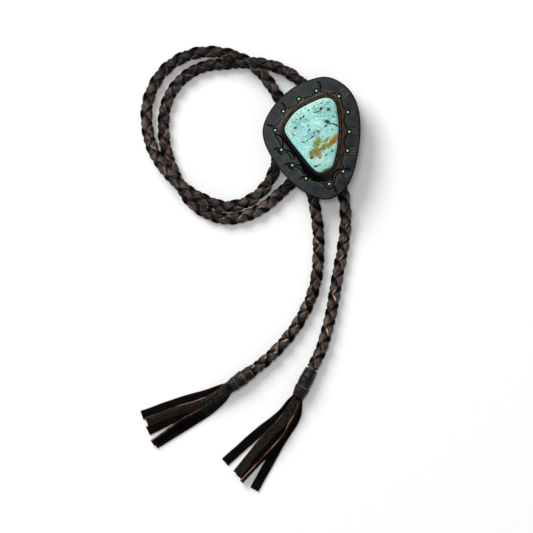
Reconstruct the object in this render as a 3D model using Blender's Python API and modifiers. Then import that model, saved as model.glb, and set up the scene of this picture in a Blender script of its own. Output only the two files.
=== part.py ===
"""A bolo tie, laid flat: a leather slide set with a turquoise, on a braided cord with two tassels.

Metres, +Z up. The tie lies with its back on Z = 0, the slide towards +Y and the tassels
towards -Y. The origin is on that surface, under the middle of the slide and the tassels.
"""

import math

import bmesh
import bpy
from mathutils import Vector

# Clearance between pieces that touch on the real tie
GAP = 0.0003

# Cord
CORD_DIAMETER = 0.0070
CORD_POINTS = 78

# Slide: wet-formed leather with a raised collar round the stone
SLIDE_WIDTH = 0.0586
SLIDE_HEIGHT = 0.0734
SLIDE_CENTRE = (0.0362, 0.0876)
SLIDE_UNDERSIDE = 0.0159
LEATHER_THICKNESS = 0.0030
LEATHER_EDGE_RADIUS = 0.0009
POCKET_FLOOR = 0.0010
COLLAR_RISE = 0.0020
COLLAR_SLOPE = 0.0019

# Stone and the rolled rim that holds it
STONE_WIDTH = 0.0320
STONE_HEIGHT = 0.0448
STONE_SHIFT = (0.0002, 0.0017)
STONE_DOME = 0.0046
STONE_GIRDLE = 0.0006
RIM_DIAMETER = 0.0014

# Studs, each in a punched seat
STUD_DIAMETER = 0.0018
STUD_DOME = 0.0008
STUD_SETBACK = 0.0063
SEAT_DEPTH = 0.0007
SEAT_CLEARANCE = 0.0004

# Clip on the back of the slide, with one channel for each cord
CLIP_LENGTH = 0.0140
CLIP_WALL = 0.0012
CLIP_FLOOR = 0.0009
CLIP_CENTRE = (0.0365, 0.08825)
CLIP_TURN = math.radians(18.3)
CHANNEL_SPACING = 0.0179
CHANNEL_CLEARANCE = 0.0004

# Wraps and tassels
WRAP_DIAMETER = 0.0093
WRAP_LEFT_LENGTH = 0.0155
WRAP_RIGHT_LENGTH = 0.0186
WRAP_LEFT_HEADING = math.radians(215.7)
WRAP_RIGHT_HEADING = math.radians(243.4)
STRAP_WIDTH = 0.0056
STRAP_THICKNESS = 0.0013
HEAD_LENGTH = 0.0040
HEAD_SHARE = 0.72

# How finely round things are made
OUTLINE_POINTS = 72
DOME_RINGS = 8
STUD_SIDES = 12
TURNED_SIDES = 20
STRAP_SECTIONS = 10

# Slide outline, round to the left from the top: across, up, as shares of half its width and height
SLIDE_OUTLINE = (
    (0.22, 1.00),
    (-0.23, 0.88),
    (-0.56, 0.70),
    (-0.85, 0.43),
    (-1.00, 0.12),
    (-0.89, -0.19),
    (-0.62, -0.52),
    (-0.23, -0.83),
    (0.24, -1.00),
    (0.55, -0.93),
    (0.79, -0.71),
    (0.93, -0.35),
    (1.00, 0.06),
    (0.97, 0.47),
    (0.79, 0.78),
    (0.48, 0.96),
)

# Stone outline, the same way: across, up, as shares of half its width and height
STONE_OUTLINE = (
    (0.50, 1.00),
    (-0.02, 0.87),
    (-0.59, 0.63),
    (-0.94, 0.31),
    (-1.00, 0.10),
    (-0.78, -0.17),
    (-0.36, -0.55),
    (0.01, -0.87),
    (0.31, -1.00),
    (0.73, -0.87),
    (0.91, -0.49),
    (1.00, 0.02),
    (0.98, 0.55),
    (0.84, 0.90),
)

# Studs: place along the stone's outline as a share of it, distance outside it as a share of the setback
STUDS = (
    (0.030, 0.84),
    (0.117, 0.85),
    (0.198, 0.90),
    (0.269, 0.91),
    (0.341, 1.19),
    (0.432, 1.28),
    (0.515, 1.13),
    (0.576, 1.24),
    (0.625, 1.14),
    (0.711, 1.02),
    (0.798, 1.02),
    (0.887, 0.96),
    (0.953, 0.68),
)

# Cord route in millimetres: across, up the tie, height of the centre line
CORD_ROUTE = (
    # left tail, from its wrap up to the slide
    (0.5, -52.0, 4.6),
    (8.2, -46.2, 4.5),
    (25.0, -28.0, 3.5),
    (37.5, -3.5, 3.5),
    (40.5, 22.0, 3.5),
    (38.8, 43.5, 7.8),
    # behind the slide, through the clip
    (33.5, 67.5, 12.1),
    (27.5, 87.0, 12.1),
    (20.5, 105.0, 12.1),
    # outer strand of the neck loop, over the inner one at the top and at the lower left
    (5.5, 127.5, 11.8),
    (-11.5, 137.5, 10.5),
    (-32.0, 139.0, 4.6),
    (-51.0, 129.5, 3.5),
    (-62.0, 109.0, 3.5),
    (-60.2, 84.5, 5.6),
    (-48.0, 65.0, 10.9),
    (-31.0, 52.3, 10.3),
    (-10.5, 46.9, 4.1),
    (9.3, 59.1, 3.5),
    # bend at the back of the neck, folded under the slide
    (17.5, 81.0, 3.5),
    (25.0, 99.5, 3.5),
    (41.0, 104.0, 3.5),
    (51.0, 91.5, 3.5),
    (42.5, 74.5, 3.5),
    # inner strand of the neck loop
    (24.0, 61.0, 3.5),
    (8.5, 47.0, 3.5),
    (-12.0, 39.3, 3.5),
    (-32.5, 46.5, 3.5),
    (-45.2, 65.0, 3.5),
    (-52.2, 88.0, 3.5),
    (-49.5, 112.0, 3.5),
    (-34.0, 128.5, 3.5),
    (-13.0, 132.5, 3.5),
    (6.5, 132.5, 3.9),
    (24.0, 126.0, 8.8),
    # behind the slide, through the clip
    (37.5, 111.5, 12.1),
    (45.5, 89.5, 12.1),
    (51.5, 70.5, 12.1),
    # right tail, down to its wrap
    (56.2, 48.5, 9.2),
    (56.0, 29.0, 4.0),
    (51.5, 3.0, 3.5),
    (47.5, -19.5, 3.5),
    (41.7, -39.8, 4.4),
    (36.5, -50.5, 4.6),
)

# Turns of a wrap, from the cord's end: start as a share of the length, lip and tail as shares of the radius
WRAP_LEFT_TURNS = (
    (0.00, 0.89, 0.84),
    (0.35, 1.00, 0.90),
    (0.71, 0.96, 0.78),
)
WRAP_RIGHT_TURNS = (
    (0.00, 0.82, 0.92),
    (0.33, 0.97, 0.94),
    (0.63, 1.00, 0.80),
)

# Strips of a tassel: roll in degrees, then stations of reach, aside and height, in shares of the
# tassel's length, of a strap's width and of a strap's thickness
TASSEL_LEFT_LENGTH = 0.0575
TASSEL_LEFT_STRIPS = (
    (0, ((0.02, -0.35, 4.4), (0.18, -0.63, 2.2), (0.34, -1.20, 0.7), (0.52, -1.85, 0.5), (0.92, -3.04, 0.5))),
    (0, ((0.02, 0.00, 5.0), (0.21, -0.10, 4.2), (0.38, -0.46, 2.2), (0.58, -1.18, 1.35), (0.92, -2.14, 1.35))),
    (0, ((0.03, 0.15, 2.6), (0.24, 0.20, 1.3), (0.44, -0.20, 0.5), (0.64, -0.72, 0.5), (0.965, -1.30, 0.5))),
    (-48, ((0.03, 0.20, 4.0), (0.23, 0.38, 3.6), (0.41, 0.36, 2.3), (0.60, 0.10, 2.2), (1.00, 0.05, 2.2))),
    (0, ((0.03, 0.30, 2.0), (0.18, 0.62, 1.2), (0.36, 0.74, 0.5), (0.57, 0.62, 0.5), (0.985, 0.33, 0.5))),
)
TASSEL_RIGHT_LENGTH = 0.0610
TASSEL_RIGHT_STRIPS = (
    (0, ((0.03, -0.40, 3.6), (0.18, -0.60, 2.0), (0.31, -1.15, 0.8), (0.48, -2.05, 0.5), (0.89, -3.84, 0.5))),
    (0, ((0.04, -0.05, 5.2), (0.18, -0.10, 4.4), (0.33, -0.45, 2.5), (0.50, -1.07, 1.35), (0.94, -2.14, 1.35))),
    (0, ((0.03, 0.10, 2.6), (0.17, 0.25, 1.5), (0.33, 0.00, 0.5), (0.52, -0.45, 0.5), (0.96, -1.70, 0.5))),
    (-74, ((0.02, 0.35, 4.0), (0.13, 0.62, 3.3), (0.26, 0.55, 2.5), (0.43, 0.45, 2.4), (0.99, -1.34, 2.4))),
    (0, ((0.02, 0.30, 2.0), (0.12, 0.70, 1.2), (0.26, 0.80, 0.5), (0.46, 0.55, 0.5), (1.00, 0.27, 0.5))),
)

MM = 0.001


def clear_scene():
    """Removes every object."""
    for thing in list(bpy.data.objects):
        bpy.data.objects.remove(thing, do_unlink=True)


def new_collection(name):
    """A collection linked to the scene."""
    group = bpy.data.collections.new(name)
    bpy.context.scene.collection.children.link(group)
    return group


def new_material(name, colour, roughness, metallic=0.0):
    """A Principled BSDF material."""
    finish = bpy.data.materials.new(name)
    finish.use_nodes = True
    shader = finish.node_tree.nodes["Principled BSDF"]
    shader.inputs["Base Color"].default_value = (*colour, 1.0)
    shader.inputs["Roughness"].default_value = roughness
    shader.inputs["Metallic"].default_value = metallic
    return finish


def place_object(name, data, group, finish):
    """An object of this data in a collection."""
    thing = bpy.data.objects.new(name, data)
    group.objects.link(thing)
    if finish and not data.materials:
        data.materials.append(finish)
    return thing


def mesh_object(name, shape, group, finish):
    """An object made from a bmesh, which it frees."""
    mesh = bpy.data.meshes.new(name)
    shape.to_mesh(mesh)
    shape.free()
    return place_object(name, mesh, group, finish)


def make_cutter(thing):
    """Marks an object as a cutter or as stock for a union."""
    thing.hide_render = True
    thing.display_type = "WIRE"


def add_boolean(thing, other, operation):
    """A Boolean modifier on an object."""
    step = thing.modifiers.new(operation.lower() + " " + other.name, "BOOLEAN")
    step.operation = operation
    step.solver = "EXACT"
    step.object = other


def spline_point(before, start, end, after, share):
    """A point of a Catmull-Rom curve between start and end."""
    return 0.5 * (
        2 * start
        + (end - before) * share
        + (2 * before - 5 * start + 4 * end - after) * share**2
        + (3 * start - before - 3 * end + after) * share**3
    )


def smooth_curve(points, closed, pieces=16):
    """Many points of a smooth curve through the given ones."""
    if closed:
        path = [points[-1], *points, points[0], points[1]]
    else:
        path = [2 * points[0] - points[1], *points, 2 * points[-1] - points[-2]]
    curve = [
        spline_point(*path[i : i + 4], k / pieces)
        for i in range(len(path) - 3)
        for k in range(pieces)
    ]
    curve.append(path[-2])
    return curve


def even_points(curve, count):
    """Points at even distances along a curve, with both its ends."""
    reached = [0.0]
    for a, b in zip(curve, curve[1:]):
        reached.append(reached[-1] + (b - a).length)
    picked = []
    place = 0
    for k in range(count):
        wanted = reached[-1] * k / (count - 1)
        while place < len(curve) - 2 and reached[place + 1] < wanted:
            place += 1
        share = (wanted - reached[place]) / (reached[place + 1] - reached[place])
        picked.append(curve[place].lerp(curve[place + 1], min(share, 1.0)))
    return picked


def outline_loop(shares, width, height, centre):
    """An outline as a closed, even loop of points, counterclockwise."""
    points = [
        Vector((centre[0] + across * width / 2, centre[1] + up * height / 2))
        for across, up in shares
    ]
    return even_points(smooth_curve(points, closed=True), OUTLINE_POINTS + 1)[:-1]


def outward(loop, index):
    """The outward direction at a point of a counterclockwise loop."""
    along = (loop[(index + 1) % len(loop)] - loop[index - 1]).normalized()
    return Vector((along.y, -along.x))


def grown(loop, distance):
    """A loop moved outwards by a distance."""
    return [point + outward(loop, i) * distance for i, point in enumerate(loop)]


def stacked_solid(rows):
    """A closed bmesh through loops with their heights, from the underside up and round to the last floor."""
    shape = bmesh.new()
    rings = [[shape.verts.new((p.x, p.y, z)) for p in loop] for loop, z in rows]
    count = len(rings[0])
    for lower, upper in zip(rings, rings[1:]):
        for i in range(count):
            j = (i + 1) % count
            shape.faces.new((lower[i], lower[j], upper[j], upper[i]))
    shape.faces.new(list(reversed(rings[0])))
    shape.faces.new(rings[-1])
    return shape


def stone_loop():
    """The stone's outline."""
    centre = (SLIDE_CENTRE[0] + STONE_SHIFT[0], SLIDE_CENTRE[1] + STONE_SHIFT[1])
    return outline_loop(STONE_OUTLINE, STONE_WIDTH, STONE_HEIGHT, centre)


def slide_top():
    """Height of the slide's flat top."""
    return SLIDE_UNDERSIDE + LEATHER_THICKNESS


def stud_places():
    """Centre of each stud, across and up."""
    loop = stone_loop()
    places = []
    for share, setback in STUDS:
        where = share * len(loop)
        index = int(where) % len(loop)
        side = outward(loop, index).lerp(outward(loop, (index + 1) % len(loop)), where % 1)
        start = loop[index].lerp(loop[(index + 1) % len(loop)], where % 1)
        places.append(start + side.normalized() * STUD_SETBACK * setback)
    return places


def build_slide(parts, cutters, finish):
    """The leather slide, with a rounded edge, a collar that rises to the stone and a pocket for it."""
    outer = outline_loop(SLIDE_OUTLINE, SLIDE_WIDTH, SLIDE_HEIGHT, SLIDE_CENTRE)
    stone = stone_loop()
    under = SLIDE_UNDERSIDE
    top = slide_top()
    edge = LEATHER_EDGE_RADIUS
    rim_seat = 2 * GAP + RIM_DIAMETER
    rows = (
        (grown(outer, -edge), under),
        (outer, under + edge),
        (outer, top - edge),
        (grown(outer, -0.3 * edge), top - 0.3 * edge),
        (grown(outer, -edge), top),
        (grown(stone, rim_seat + COLLAR_SLOPE), top),
        (grown(stone, rim_seat + 0.5 * COLLAR_SLOPE), top + 0.4 * COLLAR_RISE),
        (grown(stone, rim_seat), top + COLLAR_RISE),
        (grown(stone, GAP), top + COLLAR_RISE),
        (grown(stone, GAP), under + POCKET_FLOOR),
    )
    slide = mesh_object("slide_leather", stacked_solid(rows), parts, finish)
    seats = bmesh.new()
    radius = STUD_DIAMETER / 2 + SEAT_CLEARANCE
    for place in stud_places():
        made = bmesh.ops.create_cone(
            seats,
            cap_ends=True,
            segments=STUD_SIDES,
            radius1=radius,
            radius2=radius,
            depth=2 * SEAT_DEPTH + 2 * COLLAR_RISE,
        )
        bmesh.ops.translate(seats, verts=made["verts"], vec=(place.x, place.y, top + COLLAR_RISE))
    cutter = mesh_object("stud_seats", seats, cutters, None)
    make_cutter(cutter)
    add_boolean(slide, cutter, "DIFFERENCE")


def build_stone(parts, finish):
    """The domed stone, from its flat base in the pocket."""
    loop = stone_loop()
    centre = sum(loop, Vector((0, 0))) / len(loop)
    base = SLIDE_UNDERSIDE + POCKET_FLOOR + GAP
    girdle = slide_top() + COLLAR_RISE + GAP + RIM_DIAMETER / 2
    rows = [(loop, base), (loop, girdle - STONE_GIRDLE)]
    for ring in range(DOME_RINGS):
        turn = math.radians(90) * ring / DOME_RINGS
        dome = [centre + (point - centre) * math.cos(turn) for point in loop]
        rows.append((dome, girdle + STONE_DOME * math.sin(turn)))
    mesh_object("stone", stacked_solid(rows), parts, finish)


def tube_curve(name, points, diameter, closed, smoothness):
    """A curve with a round section along these points."""
    curve = bpy.data.curves.new(name, "CURVE")
    curve.dimensions = "3D"
    curve.bevel_depth = diameter / 2
    curve.bevel_resolution = smoothness
    curve.use_fill_caps = not closed
    line = curve.splines.new("POLY")
    line.points.add(len(points) - 1)
    for spot, point in zip(line.points, points):
        spot.co = (*point, 1.0)
    line.use_cyclic_u = closed
    return curve


def build_rim(parts, finish):
    """The rolled leather rim round the stone, lying on the collar."""
    height = slide_top() + COLLAR_RISE + GAP + RIM_DIAMETER / 2
    loop = grown(stone_loop(), GAP + RIM_DIAMETER / 2)
    points = [Vector((p.x, p.y, height)) for p in loop]
    place_object("stone_rim", tube_curve("stone_rim", points, RIM_DIAMETER, True, 1), parts, finish)


def turned_mesh(name, profile):
    """A mesh that holds a profile of radius and height, to be turned round Z."""
    shape = bmesh.new()
    spots = [shape.verts.new((radius, 0, height)) for radius, height in profile]
    for a, b in zip(spots, spots[1:]):
        shape.edges.new((a, b))
    mesh = bpy.data.meshes.new(name)
    shape.to_mesh(mesh)
    shape.free()
    return mesh


def add_turning(thing, sides):
    """A full Screw turn round the object's Z axis."""
    turn = thing.modifiers.new("turning", "SCREW")
    turn.steps = sides
    turn.render_steps = sides
    turn.use_merge_vertices = True
    turn.merge_threshold = 0.00001
    turn.use_smooth_shade = True


def build_studs(parts, finish):
    """The domed studs in their seats."""
    radius = STUD_DIAMETER / 2
    shank = SEAT_DEPTH - GAP
    profile = [
        (radius * math.sin(math.radians(turn)), shank + STUD_DOME * math.cos(math.radians(turn)))
        for turn in (0, 30, 60, 90)
    ]
    profile += [(radius, 0.0), (0.0, 0.0)]
    mesh = turned_mesh("stud", profile)
    seat = slide_top() - SEAT_DEPTH + GAP
    for number, place in enumerate(stud_places(), start=1):
        stud = place_object(f"stud_{number:02d}", mesh, parts, finish)
        stud.location = (place.x, place.y, seat)
        add_turning(stud, STUD_SIDES)


def clip_channel_height():
    """Height of the channels' axis, which is that of the cord behind the slide."""
    return SLIDE_UNDERSIDE - GAP - CORD_DIAMETER / 2


def build_clip(parts, cutters, finish):
    """The plain clip behind the slide, a bar with an open channel for each cord."""
    channel = CORD_DIAMETER + 2 * CHANNEL_CLEARANCE
    middle = clip_channel_height()
    bottom = middle - channel / 2 - CLIP_FLOOR
    top = SLIDE_UNDERSIDE - GAP
    width = CHANNEL_SPACING + channel + 2 * CLIP_WALL
    shape = bmesh.new()
    bmesh.ops.create_cube(shape, size=1)
    bmesh.ops.scale(shape, verts=shape.verts, vec=(width, CLIP_LENGTH, top - bottom))
    clip = mesh_object("cord_clip", shape, parts, finish)
    clip.location = (*CLIP_CENTRE, (top + bottom) / 2)
    clip.rotation_euler.z = CLIP_TURN
    rounding = clip.modifiers.new("edges", "BEVEL")
    rounding.width = CLIP_FLOOR / 2
    rounding.segments = 2
    for side, word in ((-1, "left"), (1, "right")):
        bore = bmesh.new()
        bmesh.ops.create_cone(
            bore,
            cap_ends=True,
            segments=TURNED_SIDES,
            radius1=channel / 2,
            radius2=channel / 2,
            depth=2 * CLIP_LENGTH,
        )
        cutter = mesh_object(f"{word}_channel", bore, cutters, None)
        make_cutter(cutter)
        across = Vector((math.cos(CLIP_TURN), math.sin(CLIP_TURN))) * CHANNEL_SPACING / 2 * side
        cutter.location = (CLIP_CENTRE[0] + across.x, CLIP_CENTRE[1] + across.y, middle)
        cutter.rotation_euler = (math.radians(90), 0, CLIP_TURN)
        add_boolean(clip, cutter, "DIFFERENCE")


def cord_line():
    """The cord's centre line, as even points of a smooth curve through its route."""
    route = [Vector(point) * MM for point in CORD_ROUTE]
    line = even_points(smooth_curve(route, closed=False), CORD_POINTS)
    for point in line:
        point.z = max(point.z, CORD_DIAMETER / 2)
    return line


def build_cord(parts, finish):
    """The whole cord as one plain tube."""
    place_object("cord", tube_curve("cord", cord_line(), CORD_DIAMETER, False, 2), parts, finish)


def wrap_start(end, heading):
    """Where a wrap begins: just past the cord's end, on its own axis, lying on the surface."""
    along = Vector((math.cos(heading), math.sin(heading)))
    start = Vector(end).to_2d() * MM + along * GAP
    return Vector((start.x, start.y, WRAP_DIAMETER / 2)), along


def build_wrap(name, end, heading, length, turns, parts, finish):
    """A wound leather wrap, turned with a lip at the start of each turn."""
    radius = WRAP_DIAMETER / 2
    profile = [(0.0, 0.0)]
    ends = [turn[0] for turn in turns[1:]] + [1.0]
    for (start, lip, tail), finish_share in zip(turns, ends):
        profile.append((radius * lip, length * start))
        profile.append((radius * tail, length * finish_share))
    profile.append((0.0, length))
    wrap = place_object(name, turned_mesh(name, list(reversed(profile))), parts, finish)
    add_turning(wrap, TURNED_SIDES)
    wrap.location, along = wrap_start(end, heading)
    wrap.rotation_mode = "QUATERNION"
    wrap.rotation_quaternion = Vector((along.x, along.y, 0)).to_track_quat("Z", "Y")
    return wrap


def strap_rest(roll):
    """Height of a strap's centre line when the strap lies on the surface at this roll."""
    return (STRAP_WIDTH * abs(math.sin(roll)) + STRAP_THICKNESS * math.cos(roll)) / 2


def strap_mesh(line, roll):
    """A flat strap along a centre line, as an open surface rolled about that line."""
    shape = bmesh.new()
    rails = []
    for index, point in enumerate(line):
        before = line[max(index - 1, 0)]
        after = line[min(index + 1, len(line) - 1)]
        along = (after - before).to_2d().normalized()
        side = Vector((-along.y, along.x, 0)) * math.cos(roll) + Vector((0, 0, math.sin(roll)))
        reach = side * STRAP_WIDTH / 2
        rails.append((shape.verts.new(point - reach), shape.verts.new(point + reach)))
    for (a, b), (c, d) in zip(rails, rails[1:]):
        shape.faces.new((a, c, d, b))
    return shape


def build_tassel(name, end, heading, wrap_length, length, strips, parts, stock, finish):
    """A tassel: leather strips joined to a short head against the wrap."""
    start, along = wrap_start(end, heading)
    aside = Vector((-along.y, along.x, 0))
    along = along.to_3d()
    root = start + along * (wrap_length + GAP)
    shape = bmesh.new()
    radius = WRAP_DIAMETER / 2 * HEAD_SHARE
    bmesh.ops.create_cone(
        shape,
        cap_ends=True,
        segments=TURNED_SIDES,
        radius1=radius,
        radius2=radius * 0.8,
        depth=HEAD_LENGTH,
    )
    tassel = mesh_object(name, shape, parts, finish)
    tassel.location = root + along * HEAD_LENGTH / 2
    tassel.rotation_mode = "QUATERNION"
    tassel.rotation_quaternion = along.to_track_quat("Z", "Y")
    floor = root.copy()
    floor.z = 0
    for number, (roll, stations) in enumerate(strips, start=1):
        points = [
            floor
            + along * length * reach
            + aside * STRAP_WIDTH * sideways
            + Vector((0, 0, STRAP_THICKNESS * height))
            for reach, sideways, height in stations
        ]
        line = even_points(smooth_curve(points, closed=False), STRAP_SECTIONS)
        for point in line:
            point.z = max(point.z, strap_rest(math.radians(roll)))
        strap = mesh_object(f"{name}_strip_{number}", strap_mesh(line, math.radians(roll)), stock, None)
        thicken = strap.modifiers.new("leather", "SOLIDIFY")
        thicken.thickness = STRAP_THICKNESS
        thicken.offset = 0
        make_cutter(strap)
        add_boolean(tassel, strap, "UNION")


def main():
    """Builds the tie."""
    clear_scene()
    parts = new_collection("bolo_tie")
    cutters = new_collection("cutters")
    black_leather = new_material("black_leather", (0.022, 0.023, 0.026), 0.55)
    rim_leather = new_material("rim_leather", (0.045, 0.022, 0.018), 0.45)
    turquoise = new_material("turquoise", (0.38, 0.72, 0.66), 0.30)
    green_stud = new_material("green_stud", (0.30, 0.62, 0.22), 0.15)
    clip_metal = new_material("clip_metal", (0.55, 0.55, 0.53), 0.35, 1.0)
    braid = new_material("braid", (0.030, 0.024, 0.020), 0.50)
    wrap_leather = new_material("wrap_leather", (0.028, 0.022, 0.020), 0.45)
    strip_leather = new_material("strip_leather", (0.030, 0.026, 0.020), 0.60)
    build_slide(parts, cutters, black_leather)
    build_stone(parts, turquoise)
    build_rim(parts, rim_leather)
    build_studs(parts, green_stud)
    build_clip(parts, cutters, clip_metal)
    build_cord(parts, braid)
    left = ("left", CORD_ROUTE[0], WRAP_LEFT_HEADING, WRAP_LEFT_LENGTH, WRAP_LEFT_TURNS)
    right = ("right", CORD_ROUTE[-1], WRAP_RIGHT_HEADING, WRAP_RIGHT_LENGTH, WRAP_RIGHT_TURNS)
    tassels = (
        (left, TASSEL_LEFT_LENGTH, TASSEL_LEFT_STRIPS),
        (right, TASSEL_RIGHT_LENGTH, TASSEL_RIGHT_STRIPS),
    )
    for (side, end, heading, wrap_length, turns), length, strips in tassels:
        build_wrap(f"wrap_{side}", end, heading, wrap_length, turns, parts, wrap_leather)
        build_tassel(
            f"tassel_{side}", end, heading, wrap_length, length, strips, parts, cutters, strip_leather
        )


main()
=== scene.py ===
"""Looks of a bolo tie laid flat: a tooled slide set with turquoise, on a braided cord with two tassels.

Metres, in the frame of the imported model: the tie lies on Z = 0 with the slide towards +Y.
"""

import logging
import math
from dataclasses import dataclass
from enum import Enum
from functools import cache
from typing import Any, Callable, Sequence

import bpy
import numpy as np
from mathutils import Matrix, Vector


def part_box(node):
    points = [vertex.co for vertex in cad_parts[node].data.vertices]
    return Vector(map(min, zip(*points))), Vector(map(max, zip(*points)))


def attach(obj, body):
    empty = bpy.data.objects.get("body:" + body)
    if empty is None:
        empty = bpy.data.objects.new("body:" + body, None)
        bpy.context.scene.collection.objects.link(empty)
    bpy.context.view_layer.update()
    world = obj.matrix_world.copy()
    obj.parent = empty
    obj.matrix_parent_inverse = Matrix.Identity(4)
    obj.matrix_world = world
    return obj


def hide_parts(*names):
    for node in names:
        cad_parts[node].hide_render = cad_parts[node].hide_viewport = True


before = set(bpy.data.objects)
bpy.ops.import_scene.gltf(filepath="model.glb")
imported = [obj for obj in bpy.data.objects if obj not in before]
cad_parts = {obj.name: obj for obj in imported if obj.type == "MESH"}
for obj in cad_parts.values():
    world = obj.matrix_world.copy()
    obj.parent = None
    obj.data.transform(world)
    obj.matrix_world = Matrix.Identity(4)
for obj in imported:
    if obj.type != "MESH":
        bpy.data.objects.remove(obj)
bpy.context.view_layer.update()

BODY = "root"
SEED = 7

LOG = logging.getLogger("bolo_tie")

Points = np.ndarray
Pair = tuple[float, float]
Colour = tuple[float, float, float]
Socket = bpy.types.NodeSocket

UPWARDS = np.array([0.0, 0.0, 1.0])

# Cord route in metres: across, up the tie, height of the centre line
CORD_ROUTE = (
    # left tail, from its wrap up to the slide
    (0.0005, -0.0520, 0.0046),
    (0.0082, -0.0462, 0.0045),
    (0.0250, -0.0280, 0.0035),
    (0.0375, -0.0035, 0.0035),
    (0.0405, 0.0220, 0.0035),
    (0.0388, 0.0435, 0.0078),
    # behind the slide, through the clip
    (0.0335, 0.0675, 0.0121),
    (0.0275, 0.0870, 0.0121),
    (0.0205, 0.1050, 0.0121),
    # outer strand of the neck loop, over the inner one at the top and at the lower left
    (0.0055, 0.1275, 0.0118),
    (-0.0115, 0.1375, 0.0105),
    (-0.0320, 0.1390, 0.0046),
    (-0.0510, 0.1295, 0.0035),
    (-0.0620, 0.1090, 0.0035),
    (-0.0602, 0.0845, 0.0056),
    (-0.0480, 0.0650, 0.0109),
    (-0.0310, 0.0523, 0.0103),
    (-0.0105, 0.0469, 0.0041),
    (0.0093, 0.0591, 0.0035),
    # bend at the back of the neck, folded under the slide
    (0.0175, 0.0810, 0.0035),
    (0.0250, 0.0995, 0.0035),
    (0.0410, 0.1040, 0.0035),
    (0.0510, 0.0915, 0.0035),
    (0.0425, 0.0745, 0.0035),
    # inner strand of the neck loop
    (0.0240, 0.0610, 0.0035),
    (0.0085, 0.0470, 0.0035),
    (-0.0120, 0.0393, 0.0035),
    (-0.0325, 0.0465, 0.0035),
    (-0.0452, 0.0650, 0.0035),
    (-0.0522, 0.0880, 0.0035),
    (-0.0495, 0.1120, 0.0035),
    (-0.0340, 0.1285, 0.0035),
    (-0.0130, 0.1325, 0.0035),
    (0.0065, 0.1325, 0.0039),
    (0.0240, 0.1260, 0.0088),
    # behind the slide, through the clip
    (0.0375, 0.1115, 0.0121),
    (0.0455, 0.0895, 0.0121),
    (0.0515, 0.0705, 0.0121),
    # right tail, down to its wrap
    (0.0562, 0.0485, 0.0092),
    (0.0560, 0.0290, 0.0040),
    (0.0515, 0.0030, 0.0035),
    (0.0475, -0.0195, 0.0035),
    (0.0417, -0.0398, 0.0044),
    (0.0365, -0.0505, 0.0046),
)

# Slide outline, round to the left from the top: across, up, as shares of half its width and height
SLIDE_OUTLINE = (
    (0.22, 1.00), (-0.23, 0.88), (-0.56, 0.70), (-0.85, 0.43), (-1.00, 0.12), (-0.89, -0.19),
    (-0.62, -0.52), (-0.23, -0.83), (0.24, -1.00), (0.55, -0.93), (0.79, -0.71), (0.93, -0.35),
    (1.00, 0.06), (0.97, 0.47), (0.79, 0.78), (0.48, 0.96),
)

# Stone outline, the same way
STONE_OUTLINE = (
    (0.50, 1.00), (-0.02, 0.87), (-0.59, 0.63), (-0.94, 0.31), (-1.00, 0.10), (-0.78, -0.17),
    (-0.36, -0.55), (0.01, -0.87), (0.31, -1.00), (0.73, -0.87), (0.91, -0.49), (1.00, 0.02),
    (0.98, 0.55), (0.84, 0.90),
)

STUDS = tuple(f"stud_{number:02d}" for number in range(1, 14))


def smooth_curve(points: Points, closed: bool, pieces: int = 16) -> Points:
    """Many points of a smooth curve through the given ones.

    Args:
        points: The points to pass through, one a row.
        closed: Whether the curve returns to its first point.
        pieces: Steps between two given points.

    Returns:
        The curve's points, with both its ends.
    """
    if closed:
        path = np.vstack([points[-1:], points, points[:2]])
    else:
        path = np.vstack([2 * points[:1] - points[1:2], points, 2 * points[-1:] - points[-2:-1]])
    share = (np.arange(pieces) / pieces)[None, :, None]
    before, start, end, after = (path[i : len(path) - 3 + i, None, :] for i in range(4))
    curve = 0.5 * (
        2 * start
        + (end - before) * share
        + (2 * before - 5 * start + 4 * end - after) * share**2
        + (3 * start - before - 3 * end + after) * share**3
    )
    return np.vstack([curve.reshape(-1, points.shape[1]), path[-2:-1]])


def reached(curve: Points) -> Points:
    """Length along a curve at each of its points."""
    return np.concatenate([[0.0], np.cumsum(np.linalg.norm(np.diff(curve, axis=0), axis=1))])


def even_points(curve: Points, count: int) -> Points:
    """Points at even distances along a curve, with both its ends.

    Args:
        curve: The curve's points.
        count: How many points to take.

    Returns:
        The even points, one a row.
    """
    along = reached(curve)
    wanted = np.linspace(0.0, along[-1], count)
    return np.stack([np.interp(wanted, along, column) for column in curve.T], axis=1)


def open_curve(points: Any, count: int) -> Points:
    """Points at even distances along a smooth open curve through the given ones."""
    return even_points(smooth_curve(np.array(points), closed=False), count)


def unit(vectors: Points) -> Points:
    """Vectors made one long."""
    return vectors / np.maximum(np.linalg.norm(vectors, axis=-1, keepdims=True), 1e-12)


def ramp(values: Points, low: float, high: float) -> Points:
    """Values eased from 0 at low to 1 at high."""
    share = np.clip((values - low) / (high - low), 0.0, 1.0)
    return share * share * (3 - 2 * share)


def steps(count: int) -> Points:
    """The share of a way that is done after each of its even steps."""
    return np.linspace(0, 1, count + 1)[1:]


def circle_turns(count: int) -> Points:
    """Even turns round a circle, in radians."""
    return 2 * math.pi * np.arange(count) / count


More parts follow.
